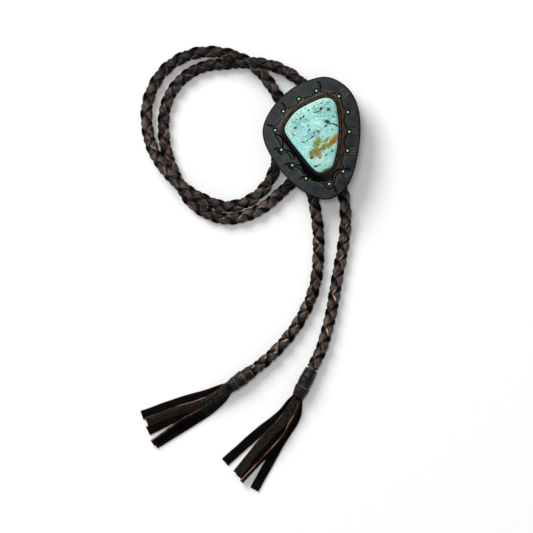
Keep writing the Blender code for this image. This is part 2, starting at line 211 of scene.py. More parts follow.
def fitted_loop(shares: Sequence[Pair], box: tuple[Vector, Vector], count: int, soft: float = 0.0) -> Points:
    """An outline as an even closed loop that fills a box, counterclockwise.

    Args:
        shares: The outline's points, as shares of half the box.
        box: Lowest and highest corner of the box.
        count: How many points the loop has.
        soft: Share of the loop's length over which its corners are eased.

    Returns:
        The loop's points across and up.
    """
    low, high = np.array(box[0])[:2], np.array(box[1])[:2]

    def fill(curve: Points) -> Points:
        """A curve stretched to fill the box."""
        return low + (curve - curve.min(0)) / (curve.max(0) - curve.min(0)) * (high - low)

    loop = even_points(fill(smooth_curve(np.array(shares, float), closed=True)), count + 1)[:-1]
    rates = np.fft.fftfreq(count) * count * soft
    easing = np.exp(-2 * (math.pi * rates) ** 2)[:, None]
    return fill(np.fft.ifft(np.fft.fft(loop, axis=0) * easing, axis=0).real)


def outward(loop: Points) -> Points:
    """Outward directions of a counterclockwise loop."""
    along = unit(np.roll(loop, -1, axis=0) - np.roll(loop, 1, axis=0))
    return np.stack([along[:, 1], -along[:, 0]], axis=1)


def grown(loop: Points, distance: float) -> Points:
    """A loop moved outwards by a distance."""
    return loop + outward(loop) * distance


def at_height(loop: Points, height: float | Points) -> Points:
    """A flat loop as points in space at a height."""
    return np.column_stack([loop, np.broadcast_to(height, len(loop))])


def facing(spots: Points, middle: Points, side: float, low: float, high: float) -> Points:
    """How far spots lie to one side of a middle, from 0 to 1.

    Args:
        spots: Places, across and up first.
        middle: The middle, across and up.
        side: The side, in degrees from the right, counterclockwise.
        low: Cosine of the angle from that side at which the value leaves 0.
        high: Cosine at which it reaches 1.

    Returns:
        One value for each spot.
    """
    bearing = np.arctan2(spots[..., 1] - middle[1], spots[..., 0] - middle[0])
    return ramp(np.cos(bearing - math.radians(side)), low, high)


def ripple(points: Points, size: float, seed: int = SEED, waves: int = 7) -> Points:
    """A smooth uneven value from -1 to 1 at each point, of a few crossing waves.

    Args:
        points: Points across, up and, if given, high.
        size: Rough distance from one swell to the next.
        seed: Which pattern to make.
        waves: How many waves cross.

    Returns:
        One value for each point.
    """
    random = np.random.default_rng(seed)
    turns = unit(random.normal(size=(waves, points.shape[1])))
    rates = 2 * math.pi / size * random.uniform(0.6, 1.5, waves)
    phases = random.uniform(0, 2 * math.pi, waves)
    return np.sin(points @ (turns * rates[:, None]).T + phases).mean(axis=1) * 1.6


def opaque(value: Any) -> Any:
    """A colour with its fourth value, or a link or number as it is."""
    return (*value, 1.0) if isinstance(value, tuple) else value


def dye(red: int, green: int, blue: int) -> Colour:
    """A colour seen on a screen, from 0 to 255, as the linear values that shaders take.

    Args:
        red: Its red.
        green: Its green.
        blue: Its blue.

    Returns:
        The linear colour.
    """

    def linear(level: float) -> float:
        """One channel made linear."""
        return level / 12.92 if level <= 0.04045 else ((level + 0.055) / 1.055) ** 2.4

    return linear(red / 255), linear(green / 255), linear(blue / 255)


class Graph:
    """A node tree, with short ways to add and link its nodes."""

    def __init__(self, tree: bpy.types.NodeTree) -> None:
        """Takes the tree that the nodes go in."""
        self.tree = tree

    def feed(self, node: bpy.types.Node, inputs: dict[Any, Any]) -> bpy.types.Node:
        """Links or sets a node's inputs.

        Args:
            node: The node.
            inputs: A link or a value for each named or numbered input.

        Returns:
            The node.
        """
        for key, value in inputs.items():
            if isinstance(value, bpy.types.NodeSocket):
                self.tree.links.new(value, node.inputs[key])
            else:
                node.inputs[key].default_value = value
        return node

    def add(self, kind: str, inputs: dict[Any, Any] | None = None, **settings: Any) -> bpy.types.Node:
        """A new node.

        Args:
            kind: The node's type.
            inputs: A link or a value for each named or numbered input.
            settings: The node's own settings.

        Returns:
            The node.
        """
        node = self.tree.nodes.new(kind)
        for key, value in settings.items():
            setattr(node, key, value)
        return self.feed(node, inputs or {})

    def place(self) -> Socket:
        """Each point's place in the tie's frame."""
        return self.add("ShaderNodeTexCoord").outputs["Object"]

    def field(self, name: str) -> Socket:
        """A field of values stored on the mesh."""
        return self.add("ShaderNodeAttribute", attribute_name=name).outputs["Fac"]

    def math(self, operation: str, *values: Any) -> Socket:
        """An operation on values."""
        return self.add("ShaderNodeMath", dict(enumerate(values)), operation=operation).outputs[0]

    def vector(self, operation: str, inputs: dict[Any, Any]) -> Socket:
        """An operation on vectors."""
        return self.add("ShaderNodeVectorMath", inputs, operation=operation).outputs[0]

    def plus(self, first: Any, second: Any) -> Socket:
        """The sum of two values."""
        return self.math("ADD", first, second)

    def minus(self, first: Any, second: Any) -> Socket:
        """The first value less the second."""
        return self.math("SUBTRACT", first, second)

    def times(self, first: Any, second: Any) -> Socket:
        """The product of two values."""
        return self.math("MULTIPLY", first, second)

    def mean(self, first: Any, second: Any, share: float) -> Socket:
        """Two values mixed, with this share of the second."""
        return self.plus(self.times(first, 1 - share), self.times(second, share))

    def span(self, value: Any, low: Any, high: Any, start: Any = 0.0, end: Any = 1.0) -> Socket:
        """A value eased from start at low to end at high.

        Args:
            value: The value to ease.
            low: Where the easing starts.
            high: Where it ends.
            start: The result at low.
            end: The result at high.

        Returns:
            The eased value.
        """
        inputs = {"Value": value, "From Min": low, "From Max": high, "To Min": start, "To Max": end}
        return self.add("ShaderNodeMapRange", inputs, interpolation_type="SMOOTHSTEP").outputs["Result"]

    def blend(self, share: Any, first: Any, second: Any) -> Socket:
        """Two colours or links mixed, with this share of the second."""
        inputs = {0: share, 6: opaque(first), 7: opaque(second)}
        return self.add("ShaderNodeMix", inputs, data_type="RGBA", clamp_factor=True).outputs[2]

    def noise(
        self, scale: Any, detail: float = 3.0, rough: float = 0.55, at: Any = None, **more: Any
    ) -> Socket:
        """A cloud of values.

        Args:
            scale: Swells in a metre.
            detail: How many finer layers it has.
            rough: How strong the finer layers are.
            at: The place to read it at, or the mesh's own place.
            more: Other inputs of the noise by name.

        Returns:
            The noise's value.
        """
        inputs = {"Vector": at or self.place(), "Scale": scale, "Detail": detail, "Roughness": rough, **more}
        return self.add("ShaderNodeTexNoise", inputs).outputs["Fac"]

    def drawn_out(self, turn: float, ratio: float) -> Socket:
        """Each point's place, squeezed so that a pattern read there is drawn out along one direction.

        Args:
            turn: The direction, in degrees from the right.
            ratio: How many times longer the pattern is than wide.

        Returns:
            The squeezed place.
        """
        turned = (0.0, 0.0, math.radians(turn))
        inputs = {"Vector": self.place(), "Rotation": turned, "Scale": (1.0, 1.0 / ratio, 1.0)}
        return self.add("ShaderNodeMapping", inputs, vector_type="TEXTURE").outputs["Vector"]

    def bump(self, height: Socket, depth: float, strength: float = 1.0) -> Socket:
        """The surface normal, roughened by a height from 0 to 1 that is this deep."""
        inputs = {"Height": height, "Distance": depth, "Strength": strength}
        return self.add("ShaderNodeBump", inputs).outputs["Normal"]


class Effect(Enum):
    """The effects that several finishes share."""

    GRAIN = "leather_grain"
    FIBRES = "cut_fibres"
    WEAR_AND_SHEEN = "wear_and_sheen_effect"


def new_group(which: Effect, inputs: dict[str, float], outputs: Sequence[str]) -> tuple[Graph, Any, Any]:
    """An empty node group with number sockets.

    Args:
        which: The effect that it is for.
        inputs: Names of the inputs with their first values.
        outputs: Names of the outputs.

    Returns:
        The group's graph, its input links, and the node that takes its results.
    """
    tree = bpy.data.node_groups.new(which.value, "ShaderNodeTree")
    for label, value in inputs.items():
        socket = tree.interface.new_socket(name=label, in_out="INPUT", socket_type="NodeSocketFloat")
        socket.default_value = value
    for label in outputs:
        tree.interface.new_socket(name=label, in_out="OUTPUT", socket_type="NodeSocketFloat")
    graph = Graph(tree)
    return graph, graph.add("NodeGroupInput").outputs, graph.add("NodeGroupOutput")


def grain_group() -> bpy.types.NodeTree:
    """Leather grain: a pebbled height, and a soft mottle of the dye.

    Returns:
        The node group.
    """
    scales = {"Scale": 1800.0, "Mottle Scale": 180.0}
    graph, given, made = new_group(Effect.GRAIN, scales, ("Height", "Mottle"))
    warp = graph.add("ShaderNodeTexNoise", {"Vector": graph.place(), "Scale": 420.0, "Detail": 2.0})
    shift = graph.vector("SCALE", {0: warp.outputs["Color"], "Scale": 0.0007})
    bent = graph.vector("ADD", {0: graph.place(), 1: shift})
    inputs = {"Vector": bent, "Scale": given["Scale"]}
    cells = graph.add("ShaderNodeTexVoronoi", inputs, feature="SMOOTH_F1").outputs["Distance"]
    pebbles = graph.span(cells, 0.75, 0.1)
    fine = graph.noise(graph.times(given["Scale"], 2.3), 4.0, 0.6)
    mottle = graph.span(graph.noise(given["Mottle Scale"], 5.0, 0.62), 0.36, 0.66)
    graph.feed(made, {"Height": graph.mean(pebbles, fine, 0.35), "Mottle": mottle})
    return graph.tree


def fibre_group() -> bpy.types.NodeTree:
    """Cut or split leather: a matted fibrous height, and patches where the raw colour shows.

    Returns:
        The node group.
    """
    graph, given, made = new_group(Effect.FIBRES, {"Scale": 2600.0, "Patch Scale": 75.0}, ("Height", "Patch"))
    mat = graph.noise(given["Scale"], 5.0, 0.7)
    tufts = graph.noise(graph.times(given["Scale"], 0.35), 2.0, 0.5)
    patch = graph.span(graph.noise(given["Patch Scale"], 2.0, 0.5), 0.46, 0.6)
    graph.feed(made, {"Height": graph.mean(mat, tufts, 0.4), "Patch": patch})
    return graph.tree


def wear_and_sheen_group() -> bpy.types.NodeTree:
    """Rubbing and painted sheen: where a raised place turns lighter, broken up by noise.

    Returns:
        The node group.
    """
    graph, given, made = new_group(Effect.WEAR_AND_SHEEN, {"Raised": 0.0, "Scale": 500.0, "Reach": 0.5}, ("Mask",))
    broken = graph.noise(given["Scale"], 4.0, 0.6)
    edge = graph.minus(1.0, given["Reach"])
    level = graph.plus(given["Raised"], graph.times(graph.minus(broken, 0.5), 0.9))
    graph.feed(made, {"Mask": graph.span(level, edge, graph.plus(edge, 0.35))})
    return graph.tree


EFFECT_MAKERS: dict[Effect, Callable[[], bpy.types.NodeTree]] = {
    Effect.GRAIN: grain_group,
    Effect.FIBRES: fibre_group,
    Effect.WEAR_AND_SHEEN: wear_and_sheen_group,
}


@cache
def effect_tree(which: Effect) -> bpy.types.NodeTree:
    """The node group of a shared effect, made once."""
    return EFFECT_MAKERS[which]()


def effect(graph: Graph, which: Effect, **inputs: Any) -> Any:
    """A shared effect placed in a material.

    Args:
        graph: The material's graph.
        which: The effect.
        inputs: Values or links for its inputs, with _ for a space.

    Returns:
        The effect's results by name.
    """
    node = graph.add("ShaderNodeGroup", node_tree=effect_tree(which))
    return graph.feed(node, {key.replace("_", " "): value for key, value in inputs.items()}).outputs


@dataclass(frozen=True)
class Finish:
    """A finish that a piece can have."""

    name: str

    def surface(self, graph: Graph) -> dict[str, Any]:
        """Values or links for the shader's inputs, with the nodes that they need put in the graph."""
        raise NotImplementedError


@cache
def material_for(finish: Finish) -> bpy.types.Material:
    """A finish as a material, made once.

    Args:
        finish: The finish.

    Returns:
        The material.
    """
    material = bpy.data.materials.new(finish.name)
    material.use_nodes = True
    graph = Graph(material.node_tree)
    surface = {key: opaque(value) for key, value in finish.surface(graph).items()}
    graph.feed(material.node_tree.nodes["Principled BSDF"], surface)
    return material


@dataclass(frozen=True)
class GrainFinish(Finish):
    """Smooth side of leather, dyed dark; lighter on raised places from rubbing, and on the cord and the rim
    also from a painted highlight; reads the raised field and a painted shade field.
    """

    dark: Colour
    light: Colour
    # Lighter colour of scuffed raised places; on the cord and the rim it also paints a highlight.
    wear_and_sheen: Colour
    grain_scale: float = 1800.0
    grain_depth: float = 0.00006
    mottle_scale: float = 180.0
    rough: Pair = (0.62, 0.44)
    wear_and_sheen_reach: float = 0.45
    specular: float = 0.15
    # Near-black that the painted shade field blends in.
    shade_and_dull_colour: Colour = dye(2, 2, 2)

    def surface(self, graph: Graph) -> dict[str, Any]:
        """The dyed grain side, lighter on its raised places (rubbing, and a painted highlight on the cord and
        the rim) and blended to near-black by painted shade.

        Args:
            graph: The material's graph.

        Returns:
            The shader's inputs by name.
        """
        grain = effect(graph, Effect.GRAIN, Scale=self.grain_scale, Mottle_Scale=self.mottle_scale)
        wear_and_sheen_mask = effect(graph, Effect.WEAR_AND_SHEEN, Raised=graph.field("raised"), Reach=self.wear_and_sheen_reach)
        colour = graph.blend(grain["Mottle"], self.dark, self.light)
        colour = graph.blend(wear_and_sheen_mask["Mask"], colour, self.wear_and_sheen)
        return {
            "Base Color": graph.blend(graph.field("painted_shade_and_dull"), colour, self.shade_and_dull_colour),
            "Roughness": graph.span(grain["Mottle"], 0.0, 1.0, *self.rough),
            "Specular IOR Level": self.specular,
            "Normal": graph.bump(grain["Height"], self.grain_depth),
        }


@dataclass(frozen=True)
class CutFinish(Finish):
    """Cut edge or split side of leather: matted fibres, raw in patches; reads the raw field and a painted
    shade field.
    """

    dark: Colour
    middle: Colour
    raw: Colour
    patch_scale: float = 75.0
    fibre_scale: float = 2600.0
    fibre_depth: float = 0.00012
    rough: float = 0.85
    specular: float = 0.1
    # Near-black that the painted shade field blends in.
    shade_and_dull_colour: Colour = dye(3, 2, 2)

    def surface(self, graph: Graph) -> dict[str, Any]:
        """The matted fibres, in two tones with raw patches.

        Args:
            graph: The material's graph.

        Returns:
            The shader's inputs by name.
        """
        fibres = effect(graph, Effect.FIBRES, Scale=self.fibre_scale, Patch_Scale=self.patch_scale)
        tone = graph.span(graph.noise(self.patch_scale * 2.3, 3.0, 0.6), 0.35, 0.65)
        colour = graph.blend(tone, self.dark, self.middle)
        colour = graph.blend(graph.times(fibres["Patch"], graph.field("raw")), colour, self.raw)
        return {
            "Base Color": graph.blend(graph.field("painted_shade_and_dull"), colour, self.shade_and_dull_colour),
            "Roughness": self.rough,
            "Specular IOR Level": self.specular,
            "Normal": graph.bump(fibres["Height"], self.fibre_depth),
        }


@dataclass(frozen=True)
class TooledFinish(Finish):
    """The slide's leather: matt blue-black with a painted sheen towards the left, black in the stamped cuts,
    burnished brown towards the stone, and a black painted shadow band by the stone.
    """

    name: str = "tooled_black_leather"
    dark: Colour = dye(33, 36, 38)
    light: Colour = dye(61, 64, 66)
    # Black for the cuts: partly dark dye in the tooling, partly painted shade.
    cut: Colour = dye(1, 1, 1)
    # Painted highlight colour for the raised lips.
    lip: Colour = dye(104, 108, 110)
    brown: Colour = dye(78, 70, 62)
    red: Colour = dye(92, 72, 62)
    black: Colour = dye(3, 3, 3)

    def surface(self, graph: Graph) -> dict[str, Any]:
        """The dyed leather with its dye bands and painted shadow band, its raised lips and its cuts, each
        laid over the last.

        Args:
            graph: The material's graph.

        Returns:
            The shader's inputs by name.
        """
        grain = effect(graph, Effect.GRAIN, Scale=1500.0, Mottle_Scale=150.0)
        # Painted sheen, lighter towards the left, mixed with the mottle.
        mottle_and_sheen = graph.mean(grain["Mottle"], graph.field("wear_and_sheen"), 0.6)
        colour = graph.blend(mottle_and_sheen, self.dark, self.light)
        for name, share, layer in (
            ("brown", 0.9, self.brown),
            ("red", 1.0, self.red),
            # Painted highlight along the raised lips.
            ("ridge", 0.75, self.lip),
            # Painted shadow band by the stone, with the black seam and the black outer edge.
            ("black", 1.0, self.black),
            # Black in the cuts and the stud seats: partly dark dye in the tooling, partly painted shade.
            ("dent", 1.0, self.cut),
        ):
            colour = graph.blend(graph.times(graph.field(name), share), colour, layer)
        deep = graph.math("MAXIMUM", graph.field("dent"), graph.field("black"))
        flat = graph.span(grain["Mottle"], 0.0, 1.0, 0.62, 0.5)
        return {
            "Base Color": colour,
            "Roughness": graph.span(deep, 0.0, 1.0, flat, 0.9),
            "Specular IOR Level": 0.05,
            "Normal": graph.bump(grain["Height"], 0.00006, 0.8),
        }


@dataclass(frozen=True)
class TurquoiseFinish(Finish):
    """Polished pale turquoise with a brown, olive and ochre matrix; reads a field for each kind of mark."""

    name: str = "turquoise_with_matrix"
    sky: Colour = dye(160, 224, 217)
    pale: Colour = dye(196, 242, 232)
    deep: Colour = dye(140, 213, 209)
    chalk: Colour = dye(212, 236, 212)
    ochre: Colour = dye(142, 104, 36)
    olive: Colour = dye(122, 122, 14)
    orange: Colour = dye(196, 124, 18)
    umber: Colour = dye(38, 38, 14)
    fleck: Colour = dye(44, 56, 30)
    glint: Colour = dye(226, 246, 232)
    banding: float = 26.0

    def marked(self, graph: Graph, field: str, scale: float, ragged: float, edge: float) -> Socket:
        """A mask of placed marks with ragged edges, drawn out along the stone's banding.

        Args:
            graph: The material's graph.
            field: The field that holds the marks, 1 in the middle of each.
            scale: Fineness of the ragged edge.
            ragged: How far the edge wanders.
            edge: How soft the edge is.

        Returns:
            The mask.
        """
        banded = graph.drawn_out(self.banding, 2.8)
        coarse = graph.minus(graph.noise(scale, 5.0, 0.68, at=banded), 0.5)
        fine = graph.minus(graph.noise(scale * 3.1, 3.0, 0.6), 0.5)
        wander = graph.times(graph.plus(coarse, graph.times(fine, 0.5)), ragged)
        return graph.span(graph.plus(graph.field(field), wander), 0.38, 0.38 + edge)

    def flecked(self, graph: Graph) -> Socket:
        """Fine dark flecks, strewn in arcs that follow the stone's edge where it is speckled.

        Args:
            graph: The material's graph.

        Returns:
            A mask of the flecks.
        """
        wander = graph.times(graph.noise(200.0, 3.0), 9.0)
        arcs = graph.plus(graph.times(graph.field("inset"), 58.0), wander)
        rows = graph.times(graph.math("SINE", arcs), 0.022)
        crowd = graph.plus(graph.times(graph.field("speckle"), 0.17), rows)
        grains = graph.noise(1150.0, 3.0, 0.66, at=graph.drawn_out(self.banding, 1.6), Distortion=0.9)
        return graph.span(graph.plus(grains, crowd), 0.655, 0.685)

    def crackled(self, graph: Graph) -> Socket:
        """Thin broken lines of a crackle.

        Args:
            graph: The material's graph.

        Returns:
            A mask of the lines.
        """
        net = graph.noise(430.0, 3.0, 0.6, at=graph.drawn_out(self.banding, 1.8), Distortion=2.2)
        line = graph.span(graph.math("ABSOLUTE", graph.minus(net, 0.5)), 0.024, 0.006)
        crowd = graph.times(graph.field("speckle"), 0.3)
        kept = graph.span(graph.plus(graph.noise(300.0, 2.0), crowd), 0.6, 0.72)
        return graph.times(line, kept)

    def earth(self, graph: Graph) -> Socket:
        """The colour of the matrix: olive, ochre in its warm marks, with umber grains."""
        earth = graph.blend(self.marked(graph, "warm", 420.0, 1.4, 0.4), self.olive, self.ochre)
        return graph.blend(graph.span(graph.noise(1300.0, 3.0, 0.6), 0.61, 0.72), earth, self.umber)

    def surface(self, graph: Graph) -> dict[str, Any]:
        """The sky-coloured stone, with each kind of mark laid over the last.

        Args:
            graph: The material's graph.

        Returns:
            The shader's inputs by name.
        """
        flecks = self.flecked(graph)
        threads = graph.noise(1500.0, 3.0, 0.6, at=graph.drawn_out(self.banding + 10.0, 4.0))
        solid = graph.span(threads, 0.70, 0.59)
        veined = graph.times(self.marked(graph, "ochre", 820.0, 2.3, 0.14), solid)
        rusty = graph.times(self.marked(graph, "orange", 700.0, 1.7, 0.3), solid)
        colour = graph.blend(graph.span(graph.noise(260.0, 4.0, 0.6), 0.38, 0.64), self.sky, self.deep)
        for mask, layer in (
            (graph.span(graph.noise(640.0, 5.0, 0.72), 0.47, 0.66), self.pale),
            (self.marked(graph, "chalk", 420.0, 1.6, 0.6), self.chalk),
            (graph.times(self.crackled(graph), 0.6), self.fleck),
            (graph.times(flecks, 0.82), self.fleck),
            (veined, self.earth(graph)),
            (rusty, self.orange),
            (graph.field("brink"), self.glint),
            (self.marked(graph, "umber", 1300.0, 2.1, 0.16), self.umber),
        ):
            colour = graph.blend(mask, colour, layer)
        return {
            "Base Color": colour,
            "Roughness": graph.span(flecks, 0.0, 1.0, 0.3, 0.55),
            "Specular IOR Level": 0.15,
            "Normal": graph.bump(graph.minus(graph.noise(900.0, 4.0, 0.6), flecks), 0.00003, 0.6),
        }


@dataclass(frozen=True)
class EnamelFinish(Finish):
    """Glossy pale green of the studs, with a painted highlight towards the top of each dome and painted shade
    towards its edge; reads one field.
    """

    name: str = "pale_green_enamel"
    # Dark green towards the edge of each dome and pale green on top: painted shade and painted highlight.
    rim: Colour = dye(14, 44, 10)
    crown_highlight: Colour = dye(178, 226, 146)

    def surface(self, graph: Graph) -> dict[str, Any]:
        """The enamel, slightly swirled where the painted highlight turns it pale.

        Args:
            graph: The material's graph.

        Returns:
            The shader's inputs by name.
        """
        swirl = graph.times(graph.minus(graph.noise(1500.0), 0.5), 0.3)
        share = graph.span(graph.plus(graph.field("crown_highlight"), swirl), 0.5, 0.95)
        return {
            "Base Color": graph.blend(share, self.rim, self.crown_highlight),
            "Roughness": graph.span(share, 0.0, 1.0, 0.3, 0.16),
        }


@dataclass(frozen=True)
class SteelFinish(Finish):
    """Brushed steel of the hidden clip."""

    name: str = "brushed_steel"
    light: Colour = dye(190, 190, 186)
    dark: Colour = dye(150, 150, 146)

    def surface(self, graph: Graph) -> dict[str, Any]:
        """The steel, brushed along the clip.

        Args:
            graph: The material's graph.

        Returns:
            The shader's inputs by name.
        """
        drawn = graph.vector("MULTIPLY", {0: graph.place(), 1: (60.0, 2400.0, 2400.0)})
        lines = graph.noise(1.0, 4.0, 0.6, at=drawn)
        return {
            "Base Color": graph.blend(graph.span(lines, 0.35, 0.65), self.dark, self.light),
            "Metallic": 1.0,
            "Roughness": graph.span(lines, 0.3, 0.7, 0.28, 0.42),
            "Normal": graph.bump(lines, 0.00002, 0.4),
        }


@dataclass(frozen=True)
class FloorFinish(Finish):
    """Plain matt white of the floor, very slightly uneven."""

    name: str = "pale_floor"
    dark: Colour = dye(252, 252, 252)
    light: Colour = dye(254, 254, 254)

    def surface(self, graph: Graph) -> dict[str, Any]:
        """The matt white.

        Args:
            graph: The material's graph.

        Returns:
            The shader's inputs by name.
        """
        paper = graph.span(graph.noise(400.0, 2.0), 0.3, 0.7)
        return {
            "Base Color": graph.blend(paper, self.dark, self.light),
            "Roughness": 0.9,
            "Specular IOR Level": 0.1,
        }


# Leathers of the cord, the rim, the wraps and the tassels
LACE_GRAIN = GrainFinish(
    "braid_lace",
    dark=dye(34, 30, 28),
    light=dye(95, 86, 81),
    wear_and_sheen=dye(126, 110, 103),
    grain_scale=2300.0,
    mottle_scale=260.0,
    rough=(0.52, 0.4),
    wear_and_sheen_reach=0.4,
    specular=0.1,
)
LACE_EDGE = CutFinish(
    "braid_lace_cut_edge",
    dark=dye(48, 32, 29),
    middle=dye(102, 74, 67),
    raw=dye(214, 172, 142),
    patch_scale=190.0,
)
# Near-black core: partly its own dark dye, partly painted shade in the gaps between the laces.
CORE_DYE_AND_SHADE = CutFinish("braid_core", dark=dye(3, 3, 3), middle=dye(6, 5, 5), raw=dye(6, 5, 5))
# Its lighter colour also paints a highlight along the top of the roll.
RIM_GRAIN = GrainFinish(
    "rolled_rim_leather",
    dark=dye(14, 9, 8),
    light=dye(34, 24, 21),
    wear_and_sheen=dye(112, 88, 80),
    grain_scale=2600.0,
    grain_depth=0.00003,
    rough=(0.5, 0.36),
    wear_and_sheen_reach=0.3,
)
WRAP_GRAIN = GrainFinish(
    "wrap_leather",
    dark=dye(5, 4, 4),
    light=dye(38, 33, 31),
    wear_and_sheen=dye(56, 48, 45),
    grain_scale=2000.0,
    grain_depth=0.00006,
    mottle_scale=360.0,
    rough=(0.46, 0.3),
    wear_and_sheen_reach=0.3,
    specular=0.16,
)
WRAP_EDGE = CutFinish(
    "wrap_cut_edge", dark=dye(70, 42, 38), middle=dye(96, 64, 58), raw=dye(128, 94, 86), patch_scale=180.0
)
STRIP_GRAIN = GrainFinish(
    "strip_leather",
    dark=dye(1, 1, 1),
    light=dye(5, 4, 4),
    wear_and_sheen=dye(24, 16, 14),
    grain_scale=2100.0,
    mottle_scale=160.0,
    rough=(0.75, 0.6),
    wear_and_sheen_reach=0.3,
    specular=0.05,
)
STRIP_SUEDE = CutFinish(
    "strip_split_side",
    dark=dye(14, 13, 11),
    middle=dye(32, 29, 25),
    raw=dye(58, 53, 46),
    patch_scale=900.0,
    fibre_scale=2400.0,
    fibre_depth=0.0002,
    rough=0.95,
    specular=0.06,
)
STRIP_EDGE = CutFinish(
    "strip_cut_edge", dark=dye(40, 20, 18), middle=dye(80, 46, 41), raw=dye(158, 116, 96), patch_scale=60.0
)


@dataclass
class Sheet:
    """A mesh being made from rows of points, with fields of values and finishes on it."""

    name: str
    rings: Points
    closed: bool = True
    capped: bool = True

    def __post_init__(self) -> None:
        """Joins the rows with faces."""
        rows, count = self.rings.shape[:2]
        index = np.arange(rows * count).reshape(rows, count)
        ahead = np.roll(index, -1, axis=1)
        if not self.closed:
            index, ahead = index[:, :-1], ahead[:, :-1]
        self.quads = np.stack([index[:-1], ahead[:-1], ahead[1:], index[1:]], axis=-1)
        faces = self.quads.reshape(-1, 4).tolist()
        if self.capped:
            faces.append(list(range(count))[::-1])
            faces.append(list(range((rows - 1) * count, rows * count)))
        self.mesh = bpy.data.meshes.new(self.name)
        self.mesh.from_pydata(self.rings.reshape(-1, 3).tolist(), [], faces)
        self.mesh.shade_smooth()

    def field(self, name: str, values: Points | float) -> None:
        """Stores one value for each point, for the finish to read.

        Args:
            name: The field's name.
            values: The values, in rows as the points are or broadcast to them.
        """
        rows = np.broadcast_to(values, self.rings.shape[:2]).astype(np.float32)
        store = self.mesh.attributes.new(name, "FLOAT", "POINT")
        store.data.foreach_set("value", rows.ravel())

    def finish_faces(self, slots: Points | int) -> None:
        """Gives each face between two rows its finish's number, with the caps in the first finish.

        Args:
            slots: The numbers, in rows as the faces are or broadcast to them.
        """
        numbers = np.zeros(len(self.mesh.polygons), np.int32)
        rows = np.broadcast_to(slots, self.quads.shape[:2]).ravel()
        numbers[: len(rows)] = rows
        self.mesh.polygons.foreach_set("material_index", numbers)

    def place(self, *finishes: Finish) -> bpy.types.Object:
        """Puts the mesh in the scene as an object with these finishes.

        Args:
            finishes: The finishes, in the order of their numbers.

        Returns:
            The object.
        """
        thing = bpy.data.objects.new(self.name, self.mesh)
        for finish in finishes:
            self.mesh.materials.append(material_for(finish))
        bpy.context.scene.collection.objects.link(thing)
        return thing


def join_meshes(name: str, things: Sequence[bpy.types.Object]) -> bpy.types.Object:
    """Several objects that share their finishes, joined into the first.

    Args:
        name: The name of the whole.
        things: The objects.

    Returns:
        The joined object.
    """
    first = things[0]
    with bpy.context.temp_override(active_object=first, selected_editable_objects=list(things)):
        bpy.ops.object.join()
    first.name = name
    first.data.name = name
    return first


def footprint(node: str) -> tuple[Points, Points]:
    """Middle and half sizes of a solid's box, across and up."""
    low, high = (np.array(corner)[:2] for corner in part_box(node))
    return (low + high) / 2, (high - low) / 2


def seat(thing: bpy.types.Object, node: str) -> bpy.types.Object:
    """Lets a piece ride on the tie in place of its solid.

    Args:
        thing: The piece.
        node: The solid that the piece stands for.

    Returns:
        The piece.
    """
    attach(thing, BODY)
    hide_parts(node)
    faces = sum(len(face.vertices) - 2 for face in thing.data.polygons)
    LOG.info("%s: %d triangles", thing.name, faces)
    return thing


@dataclass
class Studio:
    """Camera straight above the tie, pale floor and soft light."""

    pixel: float = 0.0006
    picture_pixels: int = 533
    middle: Pair = (0.0093, 0.0108)
    lens: float = 800.0
    sensor: float = 36.0
    floor_size: float = 40.0
    sky_light: float = 0.36
    key_light: float = 0.55
    key_tilt: float = 50.0
    key_size: float = 1.7
    top_light: float = 0.21
    top_tilt: float = 8.0
    top_size: float = 0.8
    bearing: float = 129.0
    lamp_distance: float = 3.0

    def camera(self) -> bpy.types.Object:
        """The camera, whose view is as wide as the photograph's frame on the surface.

        Returns:
            The camera.
        """
        data = bpy.data.cameras.new("overhead_camera")
        data.lens = self.lens
        data.sensor_width = self.sensor
        camera = bpy.data.objects.new("overhead_camera", data)
        distance = self.picture_pixels * self.pixel * self.lens / self.sensor
        camera.location = (*self.middle, distance)
        data.clip_start = distance / 10
        data.clip_end = distance * 10
        bpy.context.scene.collection.objects.link(camera)
        bpy.context.scene.camera = camera
        return camera

    def floor(self) -> bpy.types.Object:
        """The plain pale floor.

        Returns:
            The floor.
        """
        half = self.floor_size / 2
        corners = np.array([[(across, up, 0.0) for across in (-half, half)] for up in (-half, half)])
        floor = Sheet("floor", corners, closed=False, capped=False).place(FloorFinish())
        return floor

    def lamp(self, name: str, tilt: float, size: float, light: float) -> bpy.types.Object:
        """A round soft lamp aimed at the middle of the tie.

        Args:
            name: The lamp's name.
            tilt: How far it leans from straight above, in degrees.
            size: Its width.
            light: How bright a white floor looks under it, from 0 to 1.

        Returns:
            The lamp.
        """
        lean, turn = math.radians(tilt), math.radians(self.bearing)
        way = Vector((math.sin(lean) * math.cos(turn), math.sin(lean) * math.sin(turn), math.cos(lean)))
        data = bpy.data.lights.new(name, "AREA")
        data.shape = "DISK"
        data.size = size
        data.energy = light * (math.pi * self.lamp_distance) ** 2 / math.cos(lean)
        lamp = bpy.data.objects.new(name, data)
        lamp.location = Vector((*self.middle, 0.0)) + way * self.lamp_distance
        lamp.rotation_mode = "QUATERNION"
        lamp.rotation_quaternion = way.to_track_quat("Z", "Y")
        lamp.visible_camera = False
        bpy.context.scene.collection.objects.link(lamp)
        return lamp

    def sky(self) -> bpy.types.World:
        """The even white light from all round.

        Returns:
            The world with this light.
        """
        sky = bpy.data.worlds.new("soft_sky")
        sky.use_nodes = True
        background = sky.node_tree.nodes["Background"]
        background.inputs["Color"].default_value = (1.0, 1.0, 1.0, 1.0)
        background.inputs["Strength"].default_value = self.sky_light
        bpy.context.scene.world = sky
        return sky

    def build(self) -> None:
        """The whole studio."""
        self.camera()
        self.floor()
        self.sky()
        bpy.context.scene.view_settings.view_transform = "Standard"
        self.lamp("key_lamp", self.key_tilt, self.key_size, self.key_light)
        self.lamp("top_lamp", self.top_tilt, self.top_size, self.top_light)


